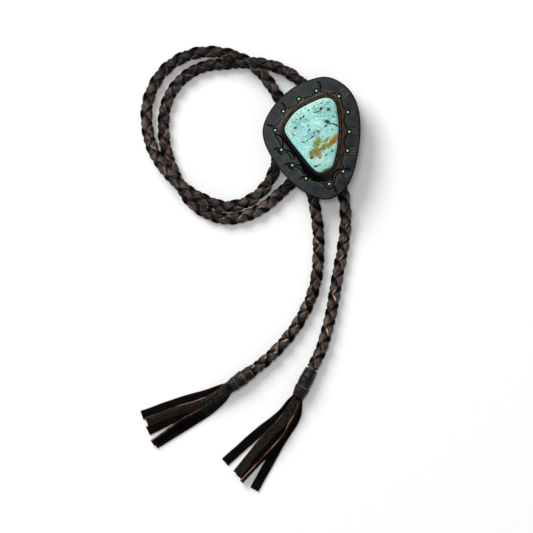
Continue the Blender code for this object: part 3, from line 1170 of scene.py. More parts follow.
@dataclass
class BraidedCord:
    """Four-strand round braid along the cord's route, two laces winding each way on a dark core."""

    diameter: float = 0.0070
    pitch: float = 0.0204
    lace_width: float = 0.0050
    lace_thickness: float = 0.0011
    face_share: float = 0.87
    cupping: float = 0.0042
    slack: float = 0.44
    hold: float = 1.6
    outer_radius: float = 0.00318
    inner_radius: float = 0.00150
    unevenness: float = 0.00006
    floor_gap: float = 0.00003
    core_radius: float = 0.0018
    tail_share: Pair = (0.34, 0.38)
    dark_neck: Pair = (0.108, 0.130)
    neck_darkening: float = 0.75
    line_points: int = 78
    sections: int = 1010
    core_sides: int = 10
    core_step: int = 4

    def line(self) -> Points:
        """The centre line, as the plain tube has it, made smooth.

        Returns:
            The line's points.
        """
        coarse = open_curve(CORD_ROUTE, self.line_points)
        coarse[:, 2] = np.maximum(coarse[:, 2], self.diameter / 2)
        return open_curve(coarse, self.sections)

    def aside(self, line: Points) -> tuple[Points, Points]:
        """Left and up at each point of the line, square to it.

        Args:
            line: The cord's centre line.

        Returns:
            The directions to the left, and those up.
        """
        along = unit(np.gradient(line, axis=0))
        left = unit(np.cross(UPWARDS, along))
        return left, np.cross(along, left)

    def twist(self, share: Points) -> Points:
        """How far the braid has turned on its axis along the line, in radians."""
        return 0.35 * np.sin(share * 9.0) + 0.2 * np.sin(share * 23.0 + 1.0)

    def in_tails(self, line: Points) -> Points:
        """How far each point lies in a tail, 0 in the neck loop and 1 in both tails."""
        along = reached(line)
        return ramp(np.abs(along / along[-1] - 0.5), *self.tail_share)

    def painted_shade_and_dull(self, line: Points, above: Points) -> Points:
        """How dark a lace is along the cord: painted shade where it passes under the others, duller stretches
        of its own, and a painted shadow of the slide near it.

        Args:
            line: The cord's centre line.
            above: How far the lace lies above the others, from -1 to 1.

        Returns:
            One value for each point, 1 for black.
        """
        middle, half = footprint("slide_leather")
        beside = np.linalg.norm((line[:, :2] - middle) / half, axis=1)
        dull = 0.4 * ramp(ripple(line, 0.045, 8), -0.1, 0.7)
        # Painted shade where the lace passes under its neighbours, a little deeper in the tails.
        dive_shade = (1 - ramp(above, -0.1, 0.35)) * (0.85 + 0.15 * self.in_tails(line))
        # Painted shadow of the slide on the cord, from just outside its outline inwards.
        return np.maximum.reduce([dive_shade, dull, 0.85 * ramp(beside, 1.2, 1.0)])

    def section(self) -> tuple[Points, Points, Points]:
        """The lace's section: places across and through it, which edges are cut, and how raised each is.

        Returns:
            The places, 1 for each cut edge, and a value from 0 to 1 for each place.
        """
        half, deep = self.lace_width / 2, self.lace_thickness / 2
        face = half * self.face_share
        inner = face * 0.8
        top = np.array([-face, -inner, -face * 0.3, face * 0.3, inner, face])
        across = np.concatenate([top, [half, half * 0.9, -half * 0.9, -half]])
        through = deep * np.array([1.0, 1.05, 1.1, 1.1, 1.05, 1.0, -0.5, -1.0, -1.0, -0.5])
        cut = np.array([0, 0, 0, 0, 0, 1, 1, 0, 1, 1])
        raised = np.array([0.9, 0.5, 0.25, 0.25, 0.5, 0.9, 0.3, 0.0, 0.0, 0.3])
        return np.stack([across, through], axis=1), cut, raised

    def wound(self, number: int, line: Points) -> tuple[Points, Points, Points]:
        """The way that a lace winds round the cord.

        Args:
            number: 0 to 3: the first two wind one way, the others the other.
            line: The cord's centre line.

        Returns:
            The lace's centre line, its outward directions, and a wave from -1 to 1 that is highest where it
            lies over another lace.
        """
        way = 1 if number < 2 else -1
        along = reached(line)
        turn = 2 * math.pi * along / self.pitch
        above = way * np.tanh(self.hold * np.cos(2 * turn)) / math.tanh(self.hold)
        held = np.concatenate([[0.0], np.cumsum((above[1:] + above[:-1]) / 2 * np.diff(turn))])
        swing = turn - self.slack * held
        angle = math.pi / 4 + way * swing + math.pi * (number % 2) + self.twist(along / along[-1])
        left, up = self.aside(line)
        out = np.cos(angle)[:, None] * up + np.sin(angle)[:, None] * left
        middle = (self.outer_radius + self.inner_radius) / 2
        radius = middle + (self.outer_radius - self.inner_radius) / 2 * above
        return line + out * radius[:, None], out, above

    def lace(self, number: int, line: Points) -> bpy.types.Object:
        """One lace of the braid.

        Args:
            number: 0 to 3: the first two wind one way, the others the other.
            line: The cord's centre line.

        Returns:
            The lace.
        """
        way = 1 if number < 2 else -1
        centre, out, above = self.wound(number, line)
        heading = unit(np.gradient(centre, axis=0))
        side = unit(np.cross(out, heading))
        normal = np.cross(heading, side)[:, None]
        shape, cut, raised = self.section()
        across, through = shape.T[:, None, :, None]
        sag = across**2 / (2 * self.cupping)
        rings = centre[:, None] + side[:, None] * across + normal * (through - sag)
        uneven = ripple(rings.reshape(-1, 3), 0.004, number) * self.unevenness
        rings = rings + normal * uneven.reshape(*rings.shape[:2], 1)
        rings[:, :, 2] = np.maximum(rings[:, :, 2], self.floor_gap)
        sheet = Sheet(f"lace_{number + 1}", rings[:, ::-1])
        top = unit(rings - line[:, None])[:, :, 2]
        clean_cut = 0.4 + 0.6 * self.in_tails(line)
        bright = (clean_cut * ramp(ripple(centre, 0.016, number + 40), -0.1, 0.3))[:, None]
        # The raw tan is brighter on edges that face up: painted highlight.
        sheet.field("raw", (bright * (0.25 + 0.75 * ramp(top, 0.4, 0.85)))[:, ::-1])
        # Lighter on the edges of each lace from rubbing, plus a painted highlight where it lies over the
        # others.
        height = (above[:, None] + 1) / 2
        sheet.field("raised", (raised * (0.35 + 0.65 * height))[:, ::-1])
        # Painted shade along one edge of the lace, where it meets the next one.
        edge_shade = ramp(shape[:, 0] * way, self.lace_width * 0.31, self.lace_width * 0.4)
        turn = 2 * math.pi * reached(line) / self.pitch
        # The laces darken towards the top of the neck loop.
        neck = self.neck_darkening * ramp(line[:, 1], *self.dark_neck)[:, None]
        layers = (
            self.painted_shade_and_dull(line, way * np.cos(2 * turn))[:, None],
            edge_shade,
            # Painted shade on the sides of the cord, away from its top.
            0.5 * ramp(top, 0.62, 0.32),
            neck * (1 - 0.5 * (raised > 0.8)),
        )
        sheet.field("painted_shade_and_dull", np.maximum.reduce(np.broadcast_arrays(*layers))[:, ::-1])
        sheet.finish_faces(np.roll(cut[::-1], -1))
        return sheet.place(LACE_GRAIN, LACE_EDGE, CORE_DYE_AND_SHADE)

    def core(self, line: Points) -> bpy.types.Object:
        """The near-black core that shows between the laces: partly its own dark dye, partly painted shade in
        the gaps.

        Args:
            line: The cord's centre line.

        Returns:
            The core.
        """
        thin = line[:: self.core_step]
        turn = circle_turns(self.core_sides)[:, None]
        left, up = (way[:, None] for way in self.aside(thin))
        rings = thin[:, None] + self.core_radius * (np.cos(turn) * up + np.sin(turn) * left)
        sheet = Sheet("core", rings[:, ::-1])
        sheet.field("raised", 0.0)
        # Blended fully to the near-black of the painted shade.
        sheet.field("painted_shade_and_dull", 1.0)
        sheet.finish_faces(2)
        return sheet.place(LACE_GRAIN, LACE_EDGE, CORE_DYE_AND_SHADE)

    def build(self) -> bpy.types.Object:
        """The whole cord.

        Returns:
            The cord.
        """
        line = self.line()
        things = [self.lace(number, line) for number in range(4)]
        cord = join_meshes("braided_cord", [*things, self.core(line)])
        seat(cord, "cord")
        return cord


class Mark(Enum):
    """How a tooled line changes the leather."""

    CUT = "cut"
    RIDGE = "ridge"


class Tool(Enum):
    """The lines that tools leave: width, depth or height, and how they change the leather."""

    GOUGE = (0.00044, 0.00052, Mark.CUT)
    GOUGE_LIP = (0.00028, 0.00008, Mark.RIDGE)
    LINER = (0.00028, 0.00018, Mark.CUT)
    LINER_LIP = (0.00030, 0.00008, Mark.RIDGE)
    TOOTH = (0.00036, 0.00036, Mark.CUT)
    DEEP_TOOTH = (0.00036, 0.00054, Mark.CUT)
    RAY = (0.00022, 0.00034, Mark.CUT)
    RAISED_RAY = (0.00022, 0.00016, Mark.RIDGE)
    KNIFE = (0.00040, 0.00050, Mark.CUT)
    RING_LIP = (0.00022, 0.00013, Mark.RIDGE)
    RING = (0.00034, 0.00040, Mark.CUT)

    def __init__(self, width: float, depth: float, mark: Mark) -> None:
        """Takes the line's width, its depth or height, and its mark.

        Args:
            width: The line's width.
            depth: Its depth or height.
            mark: How it changes the leather.
        """
        self.width = width
        self.depth = depth
        self.mark = mark


@dataclass(frozen=True)
class Stroke:
    """One straight tooled line, from start to end across and up, pressed with some force."""

    start: Pair
    end: Pair
    tool: Tool
    force: float = 1.0


def traced(path: Points, tool: Tool, force: float = 1.0) -> list[Stroke]:
    """The strokes of a tooled line along a path."""
    return [Stroke(tuple(start), tuple(end), tool, force) for start, end in zip(path, path[1:])]


@dataclass(frozen=True)
class Crescent:
    """A stamped arc between two studs: a row of teeth, and on some a cut line on the stone's side.

    A station is a share of the way to the next stud, and a distance inwards from the line between them.
    """

    row: tuple[Pair, ...]
    teeth: int = 6
    cut: tuple[Pair, ...] = ()
    bold: float = 1.0


@dataclass(frozen=True)
class Fan:
    """Short rays outside a stud, cut and raised by turns.

    The first and the last are given by their ends, across and up from the stud. Then come how many have the
    first one's mark, that mark, and how bold they are.
    """

    first: tuple[Pair, Pair]
    last: tuple[Pair, Pair]
    rays: int = 5
    mark: Mark = Mark.CUT
    bold: float = 1.0


# Crescents from each stud to the next, round to the left from the top
CRESCENTS = (
    Crescent(((0.16, 0.0011), (0.40, 0.0016), (0.73, 0.0010))),
    Crescent(((0.16, 0.0014), (0.40, 0.0015), (0.68, 0.0009)), teeth=5),
    Crescent(
        ((0.39, 0.0005), (0.59, -0.0001), (0.79, -0.0012)),
        teeth=5,
        cut=((0.12, 0.0004), (0.21, 0.0014), (0.37, 0.0018)),
        bold=0.4,
    ),
    Crescent(
        ((0.33, -0.0009), (0.56, 0.0003), (0.82, 0.0005)),
        cut=((0.19, -0.0010), (0.32, 0.0014), (0.50, 0.0024), (0.70, 0.0021), (0.88, 0.0012)),
    ),
    Crescent(
        ((0.23, 0.0012), (0.45, 0.0023), (0.72, 0.0016)),
        cut=((0.13, 0.0018), (0.35, 0.0037), (0.62, 0.0040), (0.78, 0.0030)),
    ),
    Crescent(
        ((0.20, 0.0007), (0.40, 0.0016), (0.79, 0.0010)),
        teeth=7,
        cut=((0.15, 0.0017), (0.34, 0.0033), (0.63, 0.0034), (0.82, 0.0018)),
    ),
    Crescent(
        ((0.25, -0.0003), (0.45, 0.0003), (0.70, -0.0009)),
        cut=((0.18, 0.0007), (0.44, 0.0016), (0.68, 0.0005), (0.77, -0.0011)),
        bold=0.4,
    ),
    Crescent(
        ((0.26, -0.0014), (0.50, 0.0008), (0.77, 0.0013)),
        cut=((0.29, 0.0010), (0.52, 0.0030), (0.84, 0.0028), (0.95, 0.0019)),
    ),
    Crescent(
        ((0.22, 0.0004), (0.40, 0.0019), (0.77, 0.0016)),
        cut=((0.50, 0.0032), (0.68, 0.0031), (0.86, 0.0018)),
        bold=0.6,
    ),
    Crescent(((0.16, 0.0014), (0.46, 0.0026), (0.82, 0.0016)), teeth=7),
    Crescent(((0.21, 0.0015), (0.56, 0.0026), (0.84, 0.0017)), teeth=7),
    Crescent(((0.26, 0.0006), (0.58, 0.0005), (0.82, -0.0004)), teeth=5),
    Crescent(((0.20, -0.0012), (0.48, -0.0001), (0.82, -0.0002)), teeth=7),
)

# Fans outside each stud, in the same order
FANS = (
    Fan(((-0.0021, 0.0009), (-0.0030, 0.0023)), ((0.0007, 0.0027), (0.0006, 0.0052)), 5, bold=0.8),
    Fan(((-0.0022, 0.0002), (-0.0037, 0.0017)), ((0.0010, 0.0040), (0.0008, 0.0058)), 6),
    Fan(((-0.0016, 0.0008), (-0.0034, 0.0030)), ((0.0003, 0.0018), (-0.0019, 0.0047)), 3),
    Fan(((-0.0018, 0.0012), (-0.0042, 0.0020)), ((-0.0020, -0.0004), (-0.0042, -0.0006)), 3, bold=0.3),
    Fan(((-0.0030, -0.0004), (-0.0043, -0.0009)), ((-0.0006, -0.0031), (-0.0012, -0.0044)), 4, bold=0.45),
    Fan(((-0.0030, -0.0004), (-0.0045, -0.0010)), ((-0.0004, -0.0031), (-0.0010, -0.0046)), 5, bold=0.45),
    Fan(((-0.0022, -0.0004), (-0.0040, -0.0022)), ((-0.0003, -0.0030), (-0.0016, -0.0047)), 5, Mark.RIDGE),
    Fan(((-0.0024, -0.0030), (-0.0030, -0.0046)), ((0.0012, -0.0034), (0.0016, -0.0052)), 4, Mark.RIDGE, 0.4),
    Fan(((0.0022, 0.0000), (0.0045, 0.0002)), ((-0.0003, -0.0023), (0.0019, -0.0046)), 6),
    Fan(((0.0015, 0.0020), (0.0042, 0.0026)), ((0.0017, -0.0022), (0.0047, -0.0026)), 5),
    Fan(((0.0015, 0.0019), (0.0042, 0.0030)), ((0.0016, -0.0017), (0.0045, -0.0024)), 5, bold=0.7),
    Fan(((0.0018, 0.0010), (0.0041, 0.0020)), ((0.0014, -0.0021), (0.0041, -0.0030)), 5, bold=0.7),
    Fan(((0.0006, 0.0026), (0.0026, 0.0047)), ((0.0030, -0.0004), (0.0060, 0.0022)), 5, Mark.RIDGE),
)

# Bold knife cuts beside some studs: paths from the stud, across and up, in metres
VEE_CUTS = (
    ((-0.0043, 0.0003), (-0.0018, 0.0013)),
    ((-0.0023, -0.0003), (-0.0016, -0.0015), (-0.0004, -0.0023), (0.0004, -0.0027)),
)
BOLD_CUTS = {
    1: (((0.0008, 0.0054), (0.0019, 0.0049), (0.0025, 0.0030), (0.0022, 0.0011)),),
    3: (((-0.0005, 0.0050), (0.0017, 0.0017)),),
    4: (((-0.0048, 0.0031), (-0.0033, 0.0029), (-0.0012, 0.0021)),),
    5: VEE_CUTS,
    6: VEE_CUTS,
    7: (((-0.0035, -0.0003), (-0.0025, 0.0008), (-0.0014, 0.0012)),),
    8: (((0.0022, -0.0006), (0.0032, -0.0023), (0.0042, -0.0046)),),
    9: (((0.0014, 0.0017), (0.0028, 0.0017), (0.0042, 0.0010)),),
}


@dataclass
class Slide:
    """The wet-formed leather slide, with stamped crescents, rays and seats, and a collar round the stone."""

    thickness: float = 0.0030
    edge_radius: float = 0.0010
    rim_seat: float = 0.0020
    collar_slope: float = 0.0026
    stone_gap: float = 0.0003
    pocket_floor: float = 0.0010
    swell: float = 0.00012
    seat_radius: float = 0.00148
    seat_depth: float = 0.0007
    lip_distance: Pair = (0.0009, 0.0010)
    tooth_half: float = 0.00034
    ring_stud: int = 8
    stud_rings: tuple[tuple[float, Tool], ...] = ((0.0019, Tool.RING_LIP), (0.0025, Tool.RING))
    full_dent: float = 0.0003
    full_ridge: float = 0.00014
    brown_band: Pair = (0.0058, 0.0036)
    red_band: Pair = (0.0034, 0.0024)
    # Painted shadow band beside the stone on its lower-left side, widening towards the bottom.
    shadow_band: Pair = (0.0038, 0.0031)
    shadow_tip: float = 0.0023
    shadow_side: float = 232.0
    shadow_tip_side: float = 268.0
    dye_wander: float = 0.0003
    seam_width: float = 0.0003
    brink: Pair = (0.0011, 0.0003)
    brink_dye: float = 0.75
    # Painted sheen towards one side: its bearing and reach.
    sheen_bearing: float = 165.0
    sheen_reach: Pair = (-0.026, 0.022)
    eased_share: float = 0.016
    points: int = 960
    top_rows: int = 68
    edge_rows: int = 7
    collar_rows: int = 12

    def __post_init__(self) -> None:
        """Takes the outlines and the studs' places from the frame."""
        low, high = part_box("slide_leather")
        self.under = low.z
        self.top = low.z + self.thickness
        self.lip = high.z
        self.outer = fitted_loop(SLIDE_OUTLINE, (low, high), self.points, soft=self.eased_share)
        self.stone = fitted_loop(STONE_OUTLINE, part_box("stone"), self.points)
        self.seats = np.array([footprint(node)[0] for node in STUDS])
        self.middle = self.stone.mean(axis=0)

    def crescent_strokes(self, number: int, crescent: Crescent) -> list[Stroke]:
        """The strokes of the crescent that follows a stud.

        Args:
            number: Which stud it starts at, from 0.
            crescent: Its arcs.

        Returns:
            Its strokes.
        """
        start = self.seats[number]
        chord = self.seats[(number + 1) % len(self.seats)] - start
        inwards = unit(np.array([-chord[1], chord[0]]))

        def arc(stations: tuple[Pair, ...], count: int, sink: float = 0.0) -> Points:
            """Points of the arc through some stations, moved outwards by a distance."""
            places = [start + chord * share + inwards * (inset - sink) for share, inset in stations]
            return open_curve(places, count)

        strokes: list[Stroke] = []
        tooth, force = Tool.DEEP_TOOTH, 1.0
        if crescent.cut:
            tooth, force = Tool.TOOTH, math.sqrt(crescent.bold)
            for stations, count, line, lip, sink in (
                (crescent.cut, 15, Tool.GOUGE, Tool.GOUGE_LIP, self.lip_distance[0]),
                (crescent.row, 11, Tool.LINER, Tool.LINER_LIP, self.lip_distance[1]),
            ):
                strokes += traced(arc(stations, count), line, crescent.bold)
                strokes += traced(arc(stations, count, sink), lip)
        row = arc(crescent.row, crescent.teeth)
        for place, ahead in zip(row, unit(np.gradient(row, axis=0))):
            across = np.array([-ahead[1], ahead[0]]) * self.tooth_half
            strokes.append(Stroke(tuple(place - across), tuple(place + across), tooth, force))
        return strokes

    def fan_strokes(self, number: int, fan: Fan) -> list[Stroke]:
        """The rays outside a stud, cut and raised by turns.

        Args:
            number: Which stud, from 0.
            fan: Its fan of rays.

        Returns:
            Their strokes.
        """
        tools = [Tool.RAY, Tool.RAISED_RAY]
        if fan.mark is Mark.RIDGE:
            tools.reverse()
        strokes: list[Stroke] = []
        for step, share in enumerate(np.linspace(0, 1, 2 * fan.rays - 1)):
            ray = self.seats[number] + np.array(fan.first) * (1 - share) + np.array(fan.last) * share
            strokes += traced(ray, tools[step % 2], fan.bold)
        return strokes

    def strokes(self) -> list[Stroke]:
        """Every tooled line.

        Returns:
            The strokes, stud by stud.
        """
        found: list[Stroke] = []
        for number, (crescent, fan) in enumerate(zip(CRESCENTS, FANS)):
            found += self.crescent_strokes(number, crescent)
            found += self.fan_strokes(number, fan)
            for path in BOLD_CUTS.get(number + 1, ()):
                found += traced(self.seats[number] + open_curve(path, 8), Tool.KNIFE)
        return found

    def relief(self, spots: Points) -> tuple[Points, Points, Points]:
        """Height of the tooling at each spot, with how dented and how raised it is there.

        Args:
            spots: Places across and up, one a row.

        Returns:
            The height in metres, the dent and the ridge from 0 to 1.
        """
        depths = {mark: np.zeros(len(spots)) for mark in Mark}

        def press(near: Any, far: Points, tool: Tool, force: float = 1.0) -> None:
            """Presses a tool's line on the nearby spots, which are this far from its middle."""
            depth = depths[tool.mark]
            depth[near] = np.maximum(depth[near], tool.depth * force * np.exp(-((far / tool.width) ** 2)))

        for stroke in self.strokes():
            start, end = np.array(stroke.start), np.array(stroke.end)
            span = end - start
            reach = stroke.tool.width * 3 + np.abs(span) / 2
            near = np.flatnonzero((np.abs(spots - (start + end) / 2) < reach).all(axis=1))
            share = np.clip((spots[near] - start) @ span / max(span @ span, 1e-12), 0.0, 1.0)
            far = np.linalg.norm(spots[near] - start - share[:, None] * span, axis=1)
            press(near, far, stroke.tool, stroke.force)
        far_from_seats = [np.linalg.norm(spots - place, axis=1) for place in self.seats]
        # The stud seats count as cuts and are coloured black with them: partly painted shadow round each
        # stud.
        for far in far_from_seats:
            hole = 1 - ramp(far, self.seat_radius * 0.8, self.seat_radius * 1.1)
            depths[Mark.CUT] = np.maximum(depths[Mark.CUT], self.seat_depth * hole)
        for radius, tool in self.stud_rings:
            press(slice(None), far_from_seats[self.ring_stud - 1] - radius, tool)
        dent, ridge = depths[Mark.CUT], depths[Mark.RIDGE]
        return ridge - dent, np.clip(dent / self.full_dent, 0, 1), np.clip(ridge / self.full_ridge, 0, 1)

    def rings(self) -> tuple[Points, slice]:
        """The slide's rows of points from the underside up, over the edge and in to the pocket's floor.

        Returns:
            The rows, and which of them are tooled.
        """
        rows: list[Points] = []

        def row(loop: Points, distance: float, height: float) -> None:
            """Adds a row at a distance outside a loop."""
            rows.append(at_height(grown(loop, distance), height))

        radius = self.edge_radius
        quarter = np.radians(np.linspace(0, 90, self.edge_rows))
        for turn in quarter:
            row(self.outer, -radius * (1 - math.sin(turn)), self.under + radius * (1 - math.cos(turn)))
        for turn in quarter:
            row(self.outer, -radius * (1 - math.cos(turn)), self.top - radius * (1 - math.sin(turn)))
        first = len(rows)
        rim, foot = rows[-1][:, :2], grown(self.stone, self.rim_seat + self.collar_slope)
        rows += [at_height(rim + (foot - rim) * share, self.top) for share in steps(self.top_rows)]
        for share in steps(self.collar_rows):
            height = self.top + (self.lip - self.top) * ramp(share, 0.0, 1.0)
            row(self.stone, self.rim_seat + self.collar_slope * (1 - share), height)
        tooled = slice(first, len(rows))
        row(self.stone, self.rim_seat * 0.5, self.lip)
        row(self.stone, self.stone_gap, self.lip)
        row(self.stone, self.stone_gap, self.under + self.pocket_floor)
        return np.array(rows), tooled

    def paint(self, sheet: Sheet, rings: Points) -> None:
        """The brown and red dye bands towards the stone, the brown darkened by painted shade on the
        lower-left, a black painted shadow band there, the black brink, and a painted sheen on one side.

        Args:
            sheet: The slide's mesh.
            rings: Its rows of points.
        """
        spots = rings[:, :, :2]
        flat = spots.reshape(-1, 2)
        distance = self.distance_to_stone(flat).reshape(spots.shape[:2])
        ragged = distance + ripple(flat, 0.006, 3).reshape(distance.shape) * self.dye_wander
        # Painted shadow: a black band beside the stone on its lower-left, widest towards the bottom.
        shade = facing(spots, self.middle, self.shadow_side, 0.3, 0.8)
        tip = facing(spots, self.middle, self.shadow_tip_side, 0.86, 0.98)
        black = ramp(ragged - self.shadow_tip * tip, *self.shadow_band) * shade
        seam = np.exp(-(((distance - self.rim_seat * 0.95) / self.seam_width) ** 2))
        brink = ramp(np.linalg.norm(spots - self.outer, axis=2), *self.brink) * self.brink_dye
        warm = 0.3 + 0.7 * facing(spots, self.middle, 0, -0.2, 0.6)
        side = math.radians(self.sheen_bearing)
        away = (spots - self.middle) @ np.array([math.cos(side), math.sin(side)])
        # The brown dye band, darkened by painted shade on the lower-left.
        sheet.field("brown", ramp(ragged, *self.brown_band) * (1 - 0.45 * shade))
        sheet.field("red", ramp(ragged, *self.red_band) * 0.8 * warm)
        sheet.field("black", np.clip(np.maximum.reduce([black, seam, brink]), 0, 1))
        # Painted sheen: lighter towards the left.
        sheet.field("wear_and_sheen", ramp(away, *self.sheen_reach))

    def distance_to_stone(self, spots: Points) -> Points:
        """How far each spot is from the stone's outline.

        Args:
            spots: Places across and up, one a row.

        Returns:
            One distance for each spot.
        """
        near = np.full(len(spots), np.inf)
        for point in self.stone[::3]:
            near = np.minimum(near, np.linalg.norm(spots - point, axis=1))
        return near

    def build(self) -> bpy.types.Object:
        """The slide as one mesh.

        Returns:
            The slide.
        """
        rings, tooled = self.rings()
        flat = rings[tooled, :, :2].reshape(-1, 2)
        height, dented, raised = (values.reshape(-1, self.points) for values in self.relief(flat))
        swell = ripple(flat, 0.016).reshape(height.shape) * self.swell
        easing = np.ones(len(height))
        easing[-self.collar_rows :] = np.linspace(1, 0, self.collar_rows)
        swell = swell * ramp(np.arange(len(easing)), 0, 8)[:, None]
        rings[tooled, :, 2] += (height + swell) * easing[:, None]
        sheet = Sheet("slide_tooled_leather", rings)
        for name, values in (("dent", dented), ("ridge", raised)):
            level = np.zeros(rings.shape[:2])
            level[tooled] = values
            sheet.field(name, level)
        self.paint(sheet, rings)
        return seat(sheet.place(TooledFinish()), "slide_leather")


@dataclass
class Rim:
    """The thin rolled leather rim round the stone."""

    unevenness: float = 0.07
    shaded_side: float = 240.0
    points: int = 400
    sides: int = 10

    def build(self) -> bpy.types.Object:
        """The rim as a closed, slightly uneven roll.

        Returns:
            The rim.
        """
        low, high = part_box("stone_rim")
        radius = (high.z - low.z) / 2
        stone_low, stone_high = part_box("stone")
        gap = (high.x - low.x - (stone_high.x - stone_low.x)) / 2 - radius
        loop = grown(fitted_loop(STONE_OUTLINE, (stone_low, stone_high), self.points), gap)
        away = outward(loop)
        uneven = 1 + self.unevenness * ripple(loop, 0.004, 5)
        rings = []
        for turn in circle_turns(self.sides):
            ring = loop + away * (math.cos(turn) * radius * uneven)[:, None]
            rings.append(at_height(ring, (low.z + high.z) / 2 + math.sin(turn) * radius * uneven))
        rings.append(rings[0])
        sheet = Sheet("rolled_rim", np.array(rings), capped=False)
        height = np.clip(np.sin(2 * math.pi * np.arange(self.sides + 1) / self.sides), 0, 1)[:, None]
        shade = facing(loop, loop.mean(axis=0), self.shaded_side, -0.1, 0.7)
        # Lighter along the top of the roll: rubbing with a painted highlight, a little less on the shaded
        # side.
        sheet.field("raised", height**4 * (1 - 0.2 * shade))
        # Painted shade on the lower-left side of the rim.
        sheet.field("painted_shade_and_dull", 0.4 * shade)
        return seat(sheet.place(RIM_GRAIN), "stone_rim")


@dataclass(frozen=True)
class Patch:
    """A mark in the stone.

    Its place is in shares of half the stone's width and height, its half length and half width in shares of
    half the stone's width, and its turn in degrees.
    """

    across: float
    up: float
    length: float
    width: float
    turn: float


# The stone's marks, each kind under the name of its field
PATCHES = {
    "ochre": (
        Patch(0.20, -0.22, 0.190, 0.130, 60),
        Patch(0.14, -0.46, 0.230, 0.180, 25),
        Patch(0.00, -0.55, 0.090, 0.100, 40),
        Patch(0.39, -0.36, 0.230, 0.080, 35),
        Patch(0.73, -0.20, 0.290, 0.085, 36),
        Patch(0.54, -0.13, 0.150, 0.045, 40),
        Patch(0.46, -0.27, 0.150, 0.050, 40),
        Patch(0.96, 0.60, 0.200, 0.040, 92),
        Patch(0.56, -0.92, 0.158, 0.056, 22),
        Patch(0.24, -0.81, 0.098, 0.030, 25),
        Patch(0.31, -0.59, 0.075, 0.045, 40),
        Patch(0.91, 0.27, 0.083, 0.034, -30),
    ),
    "orange": (
        Patch(0.89, -0.03, 0.158, 0.071, 22),
        Patch(0.74, -0.11, 0.110, 0.040, 30),
    ),
    "warm": (
        Patch(0.19, -0.51, 0.24, 0.14, 25),
        Patch(0.40, -0.40, 0.16, 0.08, 35),
        Patch(0.84, -0.10, 0.22, 0.10, 25),
    ),
    "umber": (
        Patch(0.59, 0.35, 0.128, 0.064, -25),
        Patch(0.84, 0.29, 0.120, 0.026, -28),
        Patch(0.53, 0.26, 0.090, 0.023, 45),
        Patch(0.76, -0.42, 0.060, 0.023, 55),
        Patch(0.54, -0.53, 0.071, 0.023, 35),
        Patch(0.35, 0.71, 0.056, 0.053, 60),
        Patch(0.62, 0.69, 0.071, 0.049, 20),
        Patch(0.18, 0.62, 0.120, 0.023, 8),
        Patch(0.80, 0.50, 0.064, 0.019, -40),
        Patch(-0.41, 0.45, 0.049, 0.030, 30),
        Patch(-0.30, 0.50, 0.049, 0.030, 70),
        Patch(-0.21, 0.44, 0.034, 0.019, 20),
        Patch(-0.61, 0.19, 0.049, 0.038, 40),
        Patch(-0.09, 0.14, 0.060, 0.030, 55),
        Patch(-0.13, 0.25, 0.030, 0.026, 0),
        Patch(0.09, 0.08, 0.030, 0.030, 0),
        Patch(0.24, 0.10, 0.060, 0.023, 40),
        Patch(-0.11, 0.67, 0.034, 0.026, 80),
        Patch(-0.72, 0.35, 0.034, 0.019, 0),
        Patch(-0.68, 0.01, 0.075, 0.019, -20),
        Patch(-0.32, -0.19, 0.064, 0.019, 5),
        Patch(-0.16, -0.14, 0.045, 0.019, 30),
        Patch(-0.23, -0.05, 0.023, 0.023, 0),
        Patch(0.01, -0.05, 0.098, 0.023, 40),
        Patch(0.77, 0.15, 0.030, 0.026, 0),
        Patch(0.36, 0.86, 0.041, 0.023, 30),
        Patch(0.62, 0.87, 0.053, 0.019, 5),
        Patch(0.00, -0.60, 0.050, 0.036, 40),
        Patch(-0.05, -0.47, 0.045, 0.024, 30),
        Patch(0.14, -0.83, 0.060, 0.030, 0),
    ),
    "chalk": (
        Patch(0.55, -0.20, 0.30, 0.16, 38),
        Patch(0.80, -0.25, 0.12, 0.10, 60),
        Patch(0.35, -0.62, 0.20, 0.10, 60),
        Patch(0.20, -0.66, 0.18, 0.06, 10),
        Patch(-0.86, 0.12, 0.16, 0.06, 80),
        Patch(0.62, -0.68, 0.15, 0.08, 45),
    ),
    "speckle": (
        Patch(-0.55, 0.35, 0.55, 0.45, 40),
        Patch(0.30, 0.72, 0.60, 0.35, 5),
        Patch(0.10, 0.05, 0.50, 0.18, 20),
    ),
}


